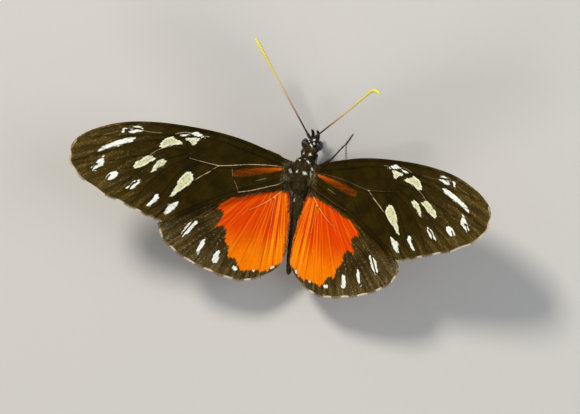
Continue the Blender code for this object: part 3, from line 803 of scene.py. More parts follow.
fringe = {"lean": 0.35, "leanRate": 0.7, "sway": 0.25, "swayRate": 2.4, "sunk": 0.12,
          "lengths": (0.75, 1.1), "vary": 0.3, "varyRate": 0.31, "width": 0.05}


def wingFringe(name, plan, side, blade):
    # A row of scales along the outer margin, in two lengths.
    margin = plan["fringeLine"]
    points = []
    aims = []
    hairs = []
    for index in range(1, len(margin) - 1):
        along = (margin[index + 1] - margin[index - 1]).normalized()
        outward = Vector((-along.y, along.x))
        lean = fringe["lean"] * noise.noise(Vector((index * fringe["leanRate"], 3.0, 0.0)))
        lean += fringe["sway"] * math.sin(index * fringe["swayRate"])
        vary = fringe["vary"] * noise.noise(Vector((index * fringe["varyRate"], 0, 0)))
        points.append(tuple(margin[index] - outward * fringe["sunk"]))
        aims.append(tuple((outward + along * lean).normalized()))
        hairs.append(plan["fringeLength"] * (fringe["lengths"][index % 2] + vary))
    flat = np.array(points)
    height = wingHeight(flat, lineDistance(flat, plan["veinLines"]), plan)
    starts = placed(flat, height, side, plan)
    mesh = bpy.data.meshes.new(name)
    mesh.from_pydata(starts.tolist(), [], [])
    setPoints(mesh, aim=placed(flat + np.array(aims), height, side, plan) - starts,
              upward=placed(flat, height + 1.0, side, plan) - starts, hair=np.array(hairs) * mm,
              breadth=[fringe["width"] * mm] * len(hairs))
    dressed(mesh, flat, plan, side, [0.0] * len(flat))
    setPoints(mesh, edgeNear=[-1.0] * len(flat))
    return applyTree(newPiece(name, mesh), rowTree, {"Blade": blade, "Material": plan["finish"]})


def mapWing(mesh, plan):
    # A map of both faces, the upper one at the corner and the under one beside or above it.
    place = readRows(mesh.attributes["wingPlace"].data, "vector")
    owner = np.repeat(np.arange(len(mesh.polygons)), [polygon.loop_total for polygon in mesh.polygons])
    upper = readRows(mesh.polygons, "normal")[owner, 2] > 0
    flat = (place[cornerPoints(mesh), :2] - np.array(plan["mapLow"])) / plan["mapSpan"]
    below = flat * plan["underScale"] + np.array(plan["underAt"])
    setMap(mesh, "OFBake", np.where(upper[:, None], flat + 0.004, below))


# From and to of each step between tones, in shares of a pattern or in wing mm, and its strength.
scaleLayers = {
    "patches": (0.35, 0.7, 1.0), "streaks": (0.47, 0.7, 1.0), "rimBand": (4.5, 0.4, 1.0),
    "rimMottle": (0.35, 0.75, 0.75), "besideVein": (0.24, 0.1, 0.5), "darkScale": (0.5, 0.0, 0.3),
    "paleScale": (0.86, 0.95, 0.5), "paleRow": (0.4, 0.65, 1.0),
    "warmStreak": (0.42, 0.75, 1.0), "warmInner": (4.5, 1.5, 0.65), "warmLight": (0.52, 0.6, 1.0),
    # Some of these layers paint light: a highlight along the raised veins, and shade beside it.
    "warmDark": (0.46, 0.38, 1.0), "shadeBesideHighlight": (0.32, 0.14, 0.8), "highlightInWarm": (0.12, 0.03, 1.0),
    "highlightInner": (6.5, 2.5, 0.6), "warmScale": (0.0, 1.0, 0.18),
    "highlightBroken": (0.3, 0.65, 0.75), "paleLine": (0.1, 0.015, 1.0),
    "creamEdge": (0.06, -0.06, 1.0), "creamHole": (0.84, 0.9, 0.5), "creamMiddle": (-0.1, -0.5, 0.8),
    "creamScale": (0.5, 0.1, 0.35), "creamRag": (0.02, 0.2, 0.5),
    "whiteEdge": (0.06, -0.07, 1.0), "whiteHole": (0.9, 0.95, 0.45), "whiteRag": (-0.02, 0.16, 0.7),
    "apex": (37.5, 40.0, 1.0), "rimLine": (0.22, 0.08, 1.0), "rimBroken": (0.35, 0.6, 1.0),
    "fringe": (-0.4, -0.8, 1.0), "tufts": (0.0, 1.0, 1.0), "smoothVein": (0.15, 0.05, 0.2),
}
scaleRate = 5.0  # scales to a wing millimetre
scaleNoise = {  # detail and roughness of each pattern
    "streaks": (3.0, 0.6), "lines": (2.0, 0.6), "rag": (3.0, 0.65), "slow": (3.0, 0.55), "fine": (3.0, 0.65),
}
fineRate = 4.5


def wingFinish(name, looks):
    material, shader, wires = newFinish(name, {"Specular IOR Level": 0.04})

    def part(wire, layer):
        low, high, strength = scaleLayers[layer]
        step = wire.within(low, high)
        return step if strength == 1.0 else step * strength

    def grain(pattern, vector, rate):
        return noiseOf(wires, stretched(wires, vector, rate), 1.0, *scaleNoise[pattern])

    place, flow = [attributeOf(wires, key, "Vector") for key in ("wingPlace", "flow")]
    veinNear, paleVein, edgeNear, rimNear = [
        attributeOf(wires, key) for key in ("veinNear", "paleVein", "edgeNear", "rimNear")]
    creamMark, whiteMark, warmMark = [
        attributeOf(wires, key) for key in ("creamMark", "whiteMark", "warmMark")]
    outward = wires.make("ShaderNodeSeparateXYZ", {}, {0: place}, 0)
    forward, underside = outward.sibling(1), outward.sibling(2)
    # Scales: small cells, each a little lighter or darker.
    rows = stretched(wires, place, (scaleRate, scaleRate, 1.0))
    cells = wires.make("ShaderNodeTexVoronoi", {"feature": "F1"}, {"Vector": rows, "Scale": 1.0}, "Distance")
    speck = wires.make("ShaderNodeSeparateColor", {}, {0: cells.sibling("Color")}, 0)
    streaks = grain("streaks", flow, looks["streakRate"])
    lines = grain("lines", place if looks["warmFade"] else flow, looks["lineRate"])
    rag = grain("rag", flow, looks["ragRate"]) - 0.5
    slow = noiseOf(wires, place, looks["slowRate"], *scaleNoise["slow"])
    fine = noiseOf(wires, place, fineRate, *scaleNoise["fine"]) - 0.5
    # Dark ground, lighter and more mottled towards the margin, with a pale scale here and there.
    dark, lighter, mottle, palest = looks["ground"]
    outer = outward.within(*looks["openFrom"])
    ground = layered(
        dark,
        (part(slow, "patches"), lighter),
        (part(streaks, "streaks") * (outer * looks["openShare"] + looks["shutShare"]), mottle),
        (outer * looks["outerLift"], mottle),
        (part(rimNear, "rimBand") * part(fine + streaks, "rimMottle"), mottle),
        (part(veinNear, "besideVein"), looks["veinDark"]),
        (part(speck, "darkScale"), looks["veinDark"]),
        (part(speck, "paleScale") * part(streaks, "paleRow") * outer, palest))
    # Warm patch or streak.
    warmth = (warmMark + rag * looks["warmRag"] + fine * 0.7).within(looks["warmSoft"], -looks["warmSoft"])
    if looks["warmFade"]:  # a streak, which darkens outward and towards its hind side and then ends
        behind = 0.75 - forward - outward * 0.235  # mm behind the streak's fore edge
        turn = outward + behind * 4.0 + (lines - 0.5) * 6.0
        warmth = warmth * outward.within(*looks["warmFade"])
    else:  # a patch, which turns golden backward and away from the body
        turn = forward - (streaks - 0.5) * looks["turnRag"] - outward.within(3.0, -1.5) * looks["turnInner"]
    inner = part(outward, "warmInner") + 0.25
    first, second, third, light, deepest = looks["warm"]
    warm = layered(
        first,
        (turn.within(*looks["warmTurn"]), second),
        (part(streaks, "warmStreak") * looks["warmStreaks"], third),
        (part(lines, "warmLight") * inner, light),
        (part(lines, "warmDark") * inner, deepest),
        # Painted shade beside the raised veins, then a painted highlight along them.
        (part(paleVein, "shadeBesideHighlight"), deepest),
        (part(paleVein, "highlightInWarm") * (part(outward, "highlightInner") + 0.4), looks["warmVeinHighlight"]),
        (part(speck, "warmScale"), first),
        (outward.within(looks["glowFrom"], looks["glowFrom"] - 1.8), looks["glow"]))
    # Painted highlight along the raised veins and the forewing's hind edge, broken here and there.
    broken = part(fine * 1.4 + slow, "highlightBroken") + 0.25
    line = (1.0 - warmth) * part(paleVein, "paleLine") * broken * looks["veinHighlightShare"]
    # Cream and white marks: ragged ends, and dark scales among the pale.
    cream = part(creamMark + rag * 1.1 + fine * 0.25, "creamEdge") * (1.0 - part(speck, "creamHole"))
    creamTone = layered(creamTones[0], (part(creamMark, "creamMiddle"), creamTones[1]),
                        (part(speck, "creamScale"), creamTones[1]), (part(rag, "creamRag"), creamTones[2]))
    white = part(whiteMark + rag * 1.2 + fine * 0.2, "whiteEdge") * (1.0 - part(speck, "whiteHole"))
    whiteTone = mixed(part(rag + fine * 0.5, "whiteRag"), *looks["white"])
    # A thin pale rim, which on the hindwing also runs along its inner edge as a painted highlight, and a
    # fringe with pale tufts between the veins.
    apex = part(outward, "apex")
    rim = part(rimNear, "rimLine") * part(fine + slow, "rimBroken") * (apex * 0.45 + looks["rimShare"])
    fringed = part(edgeNear, "fringe")
    tuft = (veinNear + rag * 0.8).within(looks["tuftFrom"], looks["tuftFrom"] + 0.25)
    # The under face is the same pattern, duller.
    colour = layered(
        ground, (warmth, warm), (line, looks["paleVein"]), (cream, creamTone), (white, whiteTone),
        (rim, looks["fringe"]), (fringed, mottle),
        (fringed * part(tuft + apex * 0.6, "tufts"), looks["fringe"]),
        (underside * 0.45, looks["underTone"]))
    colour.into(shader, "Base Color")
    (0.66 - white * 0.08 - part(paleVein, "smoothVein")).into(shader, "Roughness")
    bumped(wires, cells * 0.5 + streaks * 0.9, 0.7, 0.05).into(shader, "Normal")
    return material


creamTones = [tone(246, 246, 216), tone(208, 208, 156), tone(178, 176, 120)]

forewingLooks = {
    # Rates of the noise, across and along the scale rows (lineRate: outward and forward)
    "streakRate": (1.7, 0.14, 0.0), "ragRate": (2.8, 0.4, 0.0), "lineRate": (0.3, 2.6, 0.0), "slowRate": 0.25,
    # Ground from dark to palest, and how it opens outward
    "ground": [tone(34, 25, 0), tone(50, 39, 1), tone(106, 86, 38), tone(160, 140, 98)],
    "veinDark": tone(22, 15, 1), "openFrom": (20.0, 37.0), "openShare": 0.5, "shutShare": 0.05,
    "outerLift": 0.2,
    # Warm streak
    "warm": [tone(206, 84, 0), tone(72, 40, 2), tone(120, 56, 0), tone(190, 92, 8), tone(66, 32, 0)],
    "warmRag": 0.5, "warmSoft": 0.22, "warmFade": (11.6, 10.9), "warmTurn": (2.0, 8.0), "warmStreaks": 0.0,
    # The first tone here is a painted highlight on the raised veins inside the streak.
    "warmVeinHighlight": tone(240, 190, 130), "glow": tone(226, 120, 30), "glowFrom": 3.4,
    # Painted vein highlight, white marks, rim, fringe and under face
    "paleVein": tone(226, 200, 160), "veinHighlightShare": 0.85,
    "white": [tone(248, 252, 240), tone(156, 174, 138)],
    "rimShare": 0.25, "fringe": tone(214, 202, 172), "tuftFrom": 1.0, "underTone": tone(120, 100, 70),
}

hindwingLooks = {
    # Rates of the noise, across and along the scale rows
    "streakRate": (2.4, 0.13, 0.0), "ragRate": (3.4, 0.36, 0.0), "lineRate": (2.3, 0.05, 0.0),
    "slowRate": 0.3,
    # Ground from dark to palest, and how it opens outward
    "ground": [tone(50, 38, 6), tone(76, 60, 24), tone(120, 102, 64), tone(172, 154, 118)],
    "veinDark": tone(26, 19, 3), "openFrom": (2.0, 12.0), "openShare": 0.15, "shutShare": 0.12,
    "outerLift": 0.0,
    # Warm patch
    "warm": [tone(222, 62, 0), tone(248, 134, 0), tone(234, 90, 0), tone(255, 160, 20), tone(172, 34, 0)],
    "warmRag": 1.8, "warmSoft": 0.1, "warmFade": None, "warmTurn": (-11.5, -18.0), "warmStreaks": 0.55,
    "turnRag": 9.0, "turnInner": 3.5,
    # The first tone here is a painted highlight on the raised veins inside the patch.
    "warmVeinHighlight": tone(255, 190, 100), "glow": tone(246, 120, 10), "glowFrom": -0.6,
    # Painted vein highlight, white marks, rim, fringe and under face
    "paleVein": tone(120, 100, 74), "veinHighlightShare": 0.3, "white": [tone(250, 253, 242), tone(196, 204, 178)],
    "rimShare": 0.3, "fringe": tone(230, 212, 176), "tuftFrom": 0.95, "underTone": tone(150, 110, 70),
}


rootHair = {
    "length": (0.95, 0.5), "density": 95.0, "width": 0.03, "lift": 0.9, "stray": 0.5, "brown": 0.75,
    "hindFrom": -3.9,
    # Along the hindwing's inner margin
    "innerLength": (1.0, 0.4), "innerReach": 0.16, "innerEnds": (-17.0, -3.2), "innerCover": 0.9,
    "innerBrown": 0.1,
}


def rootCoat(mesh, kind, plan, side):
    # Hair over a wing's root on both faces, and along the hindwing's inner margin.
    place = readRows(mesh.attributes["wingPlace"].data, "vector")
    count = len(place)
    flat = place[:, :2].astype(float)
    forward = flat[:, 1]
    near = np.clip(1.15 - flat[:, 0] / plan["hairReach"], 0, 1)
    if kind == "hindwing":
        near = near * (forward > rootHair["hindFrom"])
    origin, outward, backward = [placed(np.array([at]), np.zeros(1), side, plan)
                                 for at in ((0.0, 0.0), (1.0, 0.0), (0.0, -1.0))]
    outward = (outward - origin) / mm
    backward = (backward - origin) / mm
    lie = outward + backward * np.clip(0.35 - flat[:, 1:] * 0.12, 0, 1)
    hair = rootHair["length"][1] + (rootHair["length"][0] - rootHair["length"][1]) * near
    cover = near ** 0.7
    brown = np.full(count, rootHair["brown"])
    if kind == "hindwing":
        inner = lineDistance(flat, [smoothPath(plan["hind"][2:], 0.4)]) < rootHair["innerReach"]
        inner &= (forward > rootHair["innerEnds"][0]) & (forward < rootHair["innerEnds"][1])
        fore = np.clip((forward + 13.0) / 6.0, 0, 1)  # the hair is longer towards the body's middle
        lie = np.where(inner[:, None], backward * 0.8 - outward * (0.5 + 0.7 * fore[:, None]), lie)
        longest, shortest = rootHair["innerLength"]
        hair = np.where(inner, shortest * (1 - fore) + longest * fore, hair)
        cover = np.where(inner, rootHair["innerCover"], cover)
        brown = np.where(inner, rootHair["innerBrown"], brown)
    setPoints(mesh, cover=cover, lie=lie, hair=hair * mm, brownness=brown,
              spot=np.full(count, body["farAway"]), tipward=np.zeros(count))
    # Each wing's hair has its own quarter of the map, and each face its half of that.
    corner = np.array((0.5 * (kind == "hindwing") + 0.002, 0.5 * (side == "right") + 0.002))
    spread = (flat - np.array((-3.0, -24.0))) / 32.0 * 0.24 + place[:, 2:] * np.array((0.25, 0.0))
    setMap(mesh, "skinPlace", (spread + corner)[cornerPoints(mesh)])
    return mesh


def makeRootHair(coat, blade):
    pieces = []
    for seed, (name, (mesh, kind, plan, side)) in enumerate(wingRoots.items()):
        emitter = newPiece(name, rootCoat(mesh, kind, plan, side))
        pieces.append(applyTree(emitter, furTree, {
            "Blade": blade, "Density": rootHair["density"] * 1e6, "Width": rootHair["width"] * mm,
            "Lift": rootHair["lift"], "Stray": rootHair["stray"], "Seed": seed + 11, "Material": coat}))
    piece = joined("wing_root_hair", pieces)
    finished(piece, "body")
    print("wing_root_hair made,", len(piece.data.polygons), "faces")


def drawLines(plan, marks):
    # The curves and the sheet that both sides of a pair of wings share.
    outlineStep = wing["outlineStep"]
    plan["marks"] = marks
    plan["veinLines"] = [smoothPath(vein, wing["veinStep"]) for vein in plan["veins"]]
    plan["paleLines"] = [({"left": left, "right": right}, smoothPath(vein, wing["gridStep"]))
                         for left, right, vein in plan["veinHighlights"]]
    splits = [smoothPath(split, wing["gridStep"]) for split in marks["splits"]]
    plan["drawnLines"] = [line for _, line in plan["paleLines"]] + splits
    plan["sheet"] = wingSheet(plan)
    plan["shown"] = plan["sheet"][2]
    margin = smoothPath(plan["outer"], wing["fringeStep"], comingFrom=plan["lead"][-2])
    plan["fringeLine"] = scalloped(margin, [Vector(vein[-1]) for vein in plan["veins"]])
    lead = [point for point in smoothPath(plan["lead"], outlineStep) if point.x > plan["rimFrom"]]
    # On the hindwing the rim also runs along the inner edge, where it is a painted highlight.
    hind = smoothPath(plan["hind"], outlineStep) if plan is hindwing else []
    plan["rimLine"] = lead + plan["fringeLine"] + hind


def makeWings():
    # The four wings, and a copy of each membrane for the hair at its root.
    roots = {}
    scale = bladePiece("fringe_scale", [(0.0, 0.4), (0.35, 1.0), (0.75, 0.8), (1.0, 0.12)], 0.06, 0.1)
    for kind, plan, marks, looks in (("forewing", forewing, forewingMarks, forewingLooks),
                                     ("hindwing", hindwing, hindwingMarks, hindwingLooks)):
        drawLines(plan, marks)
        plan["finish"] = wingFinish(kind + "_scales", looks)
        for side in mirrored:
            name = kind + "_" + side
            membrane = wingMembrane(name + "_wing", plan, side)
            roots[name + "_roots"] = (membrane.data.copy(), kind, plan, side)
            parts = [membrane, wingVeins(name + "_veins", plan, side),
                     wingFringe(name + "_fringe", plan, side, scale)]
            piece = joined(name + "_wing", parts)
            mapWing(piece.data, plan)
            finished(piece, kind, name)
            print(name, "made,", len(piece.data.polygons), "faces")
    bpy.data.objects.remove(scale, do_unlink=True)
    return roots


wingRoots = makeWings()

# Body: one skin for head, neck, thorax, abdomen, palps and the roots of the legs

body = {
    "voxel": 0.1, "smoothing": 4, "farAway": 5.0, "pathStep": 0.12, "palpStep": 0.15,
    "blobs": {  # centre, half sizes and squareness, mm
        "thorax": ((0.0, 0.35, 6.15), (2.0, 3.5, 2.35), 2.5),
        "scutumLeft": ((0.75, -0.3, 7.6), (0.95, 2.2, 0.85), 2.0),
        "scutumRight": ((-0.75, -0.3, 7.6), (0.95, 2.2, 0.85), 2.0),
        "scutellum": ((0.0, 2.75, 7.55), (0.95, 0.75, 0.7), 2.0),
        "shoulderLeft": ((1.9, -0.55, 8.3), (0.5, 1.2, 0.36), 2.0),
        "shoulderRight": ((-1.9, -0.55, 8.3), (0.5, 1.2, 0.36), 2.0),
        "prothorax": ((-0.2, -3.7, 5.35), (1.42, 1.05, 1.25), 2.3),
        "collarLeft": ((0.4, -4.05, 6.05), (0.72, 0.6, 0.45), 2.0),
        "collarRight": ((-0.85, -4.1, 6.05), (0.72, 0.6, 0.45), 2.0),
        "neck": ((-0.32, -4.75, 5.1), (1.38, 0.85, 1.05), 2.2),
        "head": ((-0.45, -5.75, 4.95), (1.18, 1.33, 1.15), 2.2),
        "browLeft": ((0.05, -6.4, 5.6), (0.5, 0.5, 0.35), 2.0),
        "browRight": ((-0.9, -6.5, 5.6), (0.5, 0.5, 0.35), 2.0),
    },
    "abdomen": [(0.0, 1.5, 5.9), (0.0, 3.75, 5.5), (0.0, 7.0, 5.0), (0.0, 10.0, 4.6), (0.0, 13.5, 4.4),
                (0.0, 19.25, 4.3)],
    "abdomenGirth": [(0.0, 1.0), (0.13, 1.12), (0.25, 1.14), (0.5, 1.1), (0.7, 1.02), (0.82, 0.86),
                     (0.92, 0.62), (0.975, 0.45), (1.0, 0.2)],
    "rings": 8, "ringStep": 0.07,
    "palp": [(0.5, -1.0, -0.7), (0.52, -1.6, -1.1), (0.54, -2.1, -0.8), (0.54, -2.4, -0.1),
             (0.5, -2.4, 0.55)],
    "palpGirth": [0.2, 0.22, 0.22, 0.17, 0.06], "coxaGirth": [0.5, 0.42, 0.25],
    "mapFrom": -9.0, "mapTo": 19.6,
}
headCentre = Vector((-0.45, -5.75, 4.95))


def blobPiece(name, centre, radii, power):
    # An oval with half sizes in mm; a power above 2 makes it squarer.
    bm = bmesh.new()
    bmesh.ops.create_uvsphere(bm, u_segments=40, v_segments=24, radius=1.0)
    for vert in bm.verts:
        size = sum(abs(value) ** power for value in vert.co) ** (1 / power)
        scaled = Vector(value / size * radius for value, radius in zip(vert.co, radii))
        vert.co = (Vector(centre) + originShift + scaled) * mm
    return newPiece(name, meshOf(bm, name))


def rodPiece(name, points, girths, sides, material=None, **layers):
    # A rod through points in mm, with extra point values such as colour shares.
    mesh = bpy.data.meshes.new(name)
    mesh.from_pydata([tuple((Vector(point) + originShift) * mm) for point in points],
                     [(index, index + 1) for index in range(len(points) - 1)], [])
    setPoints(mesh, girth=girths, **layers)
    values = {"Sides": sides}
    if material:
        values["Material"] = material
    return applyTree(newPiece(name, mesh), rodTree, values)


def ringedAbdomen():
    # Each ring swells towards its hind edge and steps in where the next begins.
    path = smoothPath(body["abdomen"], body["pathStep"])
    girths = []
    for index in range(len(path)):
        share = index / (len(path) - 1)
        ring = share * body["rings"] % 1.0
        girths.append(valueAt(body["abdomenGirth"], share) * (1 + body["ringStep"] * (ring ** 2 - 0.4)))
    return rodPiece("abdomen_core", path, girths, 32)


def axisAt(y):
    # The middle of the body at a given place along it, for the map of its skin.
    return (float(np.interp(y, [-8.0, -6.0, -3.7, 0.0, 19.0], [-0.3, -0.3, -0.2, 0.0, 0.0])),
            float(np.interp(y, [-8.0, -6.0, -3.7, 0.0, 4.0, 19.0], [4.6, 4.8, 5.3, 6.0, 5.5, 4.3])))


def mapRound(mesh, name):
    # The skin unrolled round the body's own axis, opened along the belly.
    layer = mesh.uv_layers.new(name=name)
    turns = []
    for vert in mesh.vertices:
        place = vert.co / mm - originShift
        middle = axisAt(place.y)
        turn = math.atan2(place.x - middle[0], place.z - middle[1]) / (2 * math.pi) + 0.5
        turns.append((turn, (place.y - body["mapFrom"]) / (body["mapTo"] - body["mapFrom"])))
    for polygon in mesh.polygons:
        corners = [turns[mesh.loops[index].vertex_index] for index in polygon.loop_indices]
        wide = max(corner[0] for corner in corners) - min(corner[0] for corner in corners) > 0.5
        for index, (turn, along) in zip(polygon.loop_indices, corners):
            turned = turn + 1.0 if wide and turn < 0.5 else turn
            layer.data[index].uv = (0.02 + turned * 0.94, 0.01 + along * 0.98)


def skinPiece():
    pieces = [blobPiece(name, *blob) for name, blob in body["blobs"].items()]
    pieces.append(ringedAbdomen())
    for sign in mirrored.values():
        joints = [headCentre + Vector((sign * x, y, z)) for x, y, z in body["palp"]]
        path = smoothPath(joints, body["palpStep"])
        girths = np.interp(np.arange(len(path)) / (len(path) - 1), np.linspace(0, 1, 5), body["palpGirth"])
        pieces.append(rodPiece("palp_core", path, girths, 14))
    for side in mirrored:
        for leg in ("foreleg", "midleg", "hindleg"):
            start, end = [Vector(point) for point in legs[leg][side][:2]]
            path = [start - (end - start) * 0.8, start, end.lerp(start, 0.35)]
            pieces.append(rodPiece("coxa", path, body["coxaGirth"], 16))
    skin = joined("body_skin", pieces)
    remesh = skin.modifiers.new("remesh", "REMESH")
    remesh.mode = "VOXEL"
    remesh.voxel_size = body["voxel"] * mm
    smooth = skin.modifiers.new("smooth", "SMOOTH")
    smooth.iterations = body["smoothing"]
    smoothed(settled(skin).data)
    return skin


# Pale scale spots, by where the picture shows them: two ends of each in its pixels, and half width in mm.
bodyMarks = {
    "pixelsPerMm": 5.3, "middle": (290.0, 207.0), "rayFrom": 60.0,
    "spots": [
        ((307.6, 139.2), (308.9, 140.1), 0.05), ((309.0, 142.0), (309.5, 142.2), 0.05),
        ((306.8, 144.3), (307.2, 144.7), 0.07), ((310.4, 144.9), (311.7, 146.4), 0.06),
        ((313.4, 140.8), (315.0, 140.2), 0.06), ((313.6, 143.8), (314.3, 144.6), 0.07),
        ((315.8, 148.8), (317.8, 151.3), 0.08), ((304.1, 151.6), (304.4, 152.0), 0.1),
        ((309.8, 153.3), (310.4, 153.7), 0.13), ((300.4, 159.2), (300.8, 159.6), 0.08),
        ((305.2, 158.2), (305.4, 158.5), 0.03), ((307.4, 160.3), (308.1, 161.9), 0.08),
        ((312.8, 159.6), (314.4, 161.2), 0.12), ((297.4, 170.4), (298.2, 169.8), 0.1),
        ((303.8, 171.0), (305.2, 172.2), 0.15), ((306.2, 171.8), (307.2, 172.0), 0.1),
        ((311.2, 167.8), (311.6, 168.6), 0.07), ((310.3, 170.8), (310.5, 175.6), 0.03),
        ((313.2, 174.6), (314.4, 176.6), 0.1), ((313.4, 178.6), (313.6, 179.6), 0.05),
        ((290.8, 168.8), (291.9, 170.9), 0.07), ((292.2, 172.6), (291.2, 174.4), 0.05),
        ((290.0, 175.6), (290.6, 176.4), 0.04), ((293.6, 162.4), (294.2, 164.8), 0.0),
        ((295.2, 195.8), (295.9, 197.2), 0.08), ((302.4, 198.4), (303.0, 199.2), 0.08),
    ],
}


def pictureRay(x, y):
    # The point and direction that a pixel of the picture looks along, in metres.
    right, up, back = viewAxes()
    across = (x - bodyMarks["middle"][0]) / bodyMarks["pixelsPerMm"]
    down = (y - bodyMarks["middle"][1]) / bodyMarks["pixelsPerMm"]
    start = Vector(view["aim"]) + originShift + right * across - up * down + back * bodyMarks["rayFrom"]
    return start * mm, -back


def spotDistance(mesh):
    # Distance from each point of the skin to the nearest pale spot, in mm, negative inside.
    surface = BVHTree.FromPolygons([vert.co for vert in mesh.vertices],
                                   [tuple(polygon.vertices) for polygon in mesh.polygons])
    points = readRows(mesh.vertices, "co") / mm
    best = np.full(len(points), body["farAway"])
    for start, end, half in bodyMarks["spots"]:
        hits = [surface.ray_cast(*pictureRay(*pixel))[0] for pixel in (start, end)]
        if None not in hits:
            first, second = [np.array(hit) / mm for hit in hits]
            best = np.minimum(best, segmentDistance(points, first, second) - half)
    return best


coatZones = {  # along the body: where each ends, hair in mm, cover, and lie outward, back and up
    "face": {"until": -6.95, "hair": 0.34, "cover": 1.0, "lie": (-0.15, -1.0, 0.45)},
    "head": {"until": -5.2, "hair": 0.3, "cover": 1.0, "lie": (0.25, -0.5, 0.12)},
    "neck": {"until": -4.5, "hair": 0.65, "cover": 1.0, "lie": (1.1, 0.4, 0.1)},
    "collar": {"until": -3.0, "hair": 0.5, "cover": 0.9, "lie": (0.35, 1.0, 0.0)},
    "thorax": {"until": 4.4, "hair": 0.55, "cover": 1.0, "lie": (0.3, 1.0, 0.0)},
    "abdomen": {"until": 99.0, "hair": 0.34, "cover": 1.0, "lie": (0.0, 1.0, 0.0)},
}
coatGrowth = {  # what a part of a zone adds: hair in mm, and lie outward and up
    "middle": (0.4, 0.0, 0.0), "low": (0.5, 0.0, -0.25), "waist": (0.35, 0.7, 0.35), "base": (0.6, 0.8, 0.15),
}
brownZones = [  # where each ends, least and most brown, the height that it starts under and over how many mm
    {"until": -3.0, "range": (0.12, 0.12), "under": 0.0, "over": 1.0},
    {"until": 4.2, "range": (0.1, 1.0), "under": 7.6, "over": 1.6},
    {"until": 99.0, "range": (0.05, 0.8), "under": 4.6, "over": 0.8},
]


def clamped(value, low=0.0, high=1.0):
    return max(low, min(high, value))


def regionOf(place):
    # Length of hair, cover and lie at a place on the skin, in mm from the body's own axes.
    side = place.x - axisAt(place.y)[0]
    name = next(name for name, zone in coatZones.items() if place.y < zone["until"])
    zone = coatZones[name]
    parts = {}
    if name == "face":
        parts = {"middle": 1.0 - abs(place.x - headCentre.x) / 0.5}
    elif name == "thorax":
        parts = {"low": (7.4 - place.z) / 2.0, "waist": (place.y - 1.8) / 1.2}
    elif name == "abdomen":
        parts = {"base": (12.0 - place.y) / 6.0}
    hair = zone["hair"]
    outward, back, up = zone["lie"]
    for key, share in parts.items():
        longer, wider, higher = coatGrowth[key]
        hair += longer * clamped(share)
        outward += wider * clamped(share)
        up += higher * clamped(share)
    return hair, zone["cover"], Vector((side * outward, back, up))


def brownAt(place):
    # Share of brown hair: the flanks of the thorax and the underside of the abdomen.
    zone = next(zone for zone in brownZones if place.y < zone["until"])
    return clamped((zone["under"] - place.z) / zone["over"], *zone["range"])


def coatFinish():
    material, shader, wires = newFinish("body_hair", {"Specular IOR Level": 0.08, "Roughness": 0.75})
    spot, tip, brown = [attributeOf(wires, key) for key in ("spot", "tipward", "brownness")]
    position = positionOf(wires)
    grain = noiseOf(wires, position, 2600.0)
    patchy = noiseOf(wires, position, 700.0)
    strand = noiseOf(wires, stretched(wires, position, (4200.0, 900.0, 2600.0)), 1.0)
    colour = layered(
        tone(20, 16, 4),
        (grain.within(0.3, 0.75), tone(54, 43, 12)),
        (brown * patchy.within(0.3, 0.7), tone(104, 88, 58)),
        (strand.within(0.58, 0.66) * (brown * 0.8 + 0.12), tone(168, 154, 120)),
        (tip * 0.25, tone(96, 80, 44)),
        (spot.within(0.1, 0.01), tone(255, 255, 244)))
    colour.into(shader, "Base Color")
    return material


coats = {  # ends along the body, blade, blades to a square mm, width in mm and stray in radians
    "head_coat": {"ends": (-99.0, -4.75), "blade": "hair", "density": 150.0, "width": 0.035, "stray": 0.5},
    "thorax_coat": {"ends": (-4.75, 4.6), "blade": "hair", "density": 110.0, "width": 0.035, "stray": 0.45},
    "abdomen_coat": {"ends": (4.6, 99.0), "blade": "scale", "density": 85.0, "width": 0.055, "stray": 0.25},
}
eye = {"offset": (1.33, 0.15, 0.15), "radii": (0.8, 1.0, 1.1), "lensRise": 0.012, "bareRim": 0.12}


def eyeOffset(sign):
    return Vector((sign * eye["offset"][0], *eye["offset"][1:]))


def bareAt(place):
    # No hair grows over an eye.
    for sign in mirrored.values():
        away = place - headCentre - eyeOffset(sign)
        if sum((a / (b + eye["bareRim"])) ** 2 for a, b in zip(away, eye["radii"])) < 1.0:
            return True
    return False


def makeBody():
    skin = skinPiece()
    mesh = skin.data
    mapRound(mesh, "skinPlace")
    places = [vert.co / mm - originShift for vert in mesh.vertices]
    hairs, covers, lies = zip(*[regionOf(place) for place in places])
    covers = np.array([0.0 if bareAt(place) else cover for place, cover in zip(places, covers)])
    setPoints(mesh, spot=spotDistance(mesh), tipward=np.zeros(len(places)),
              brownness=[brownAt(place) for place in places], lie=[tuple(lie.normalized()) for lie in lies],
              hair=[hair * mm for hair in hairs])
    coat = coatFinish()
    mesh.materials.clear()
    mesh.materials.append(coat)
    rows = np.array([vert.co.y / mm - originShift.y for vert in mesh.vertices])
    blades = {"hair": bladePiece("hair", [(0.0, 1.0), (0.55, 0.75), (1.0, 0.04)], 0.0, 0.45),
              "scale": bladePiece("scale", [(0.0, 0.5), (0.4, 1.0), (0.8, 0.9), (1.0, 0.3)], 0.0, 0.22)}
    for seed, (name, spec) in enumerate(coats.items()):
        where = (rows >= spec["ends"][0]) & (rows < spec["ends"][1])
        emitter = newPiece(name, mesh.copy())
        setPoints(emitter.data, cover=covers * where)
        applyTree(emitter, furTree, {
            "Blade": blades[spec["blade"]], "Density": spec["density"] * 1e6, "Width": spec["width"] * mm,
            "Lift": 1.0, "Stray": spec["stray"], "Seed": seed + 3, "Material": coat})
        finished(emitter, "body")
        print(name, "made,", len(emitter.data.polygons), "faces")
    mapRound(mesh, "OFBake")
    finished(skin, "body", "head", "prothorax", "thorax", "abdomen", "palp_left", "palp_right")
    print("body_skin made,", len(mesh.polygons), "faces")
    makeRootHair(coat, blades["hair"])
    for blade in blades.values():
        bpy.data.objects.remove(blade, do_unlink=True)


# Eyes: many lenses on an oval

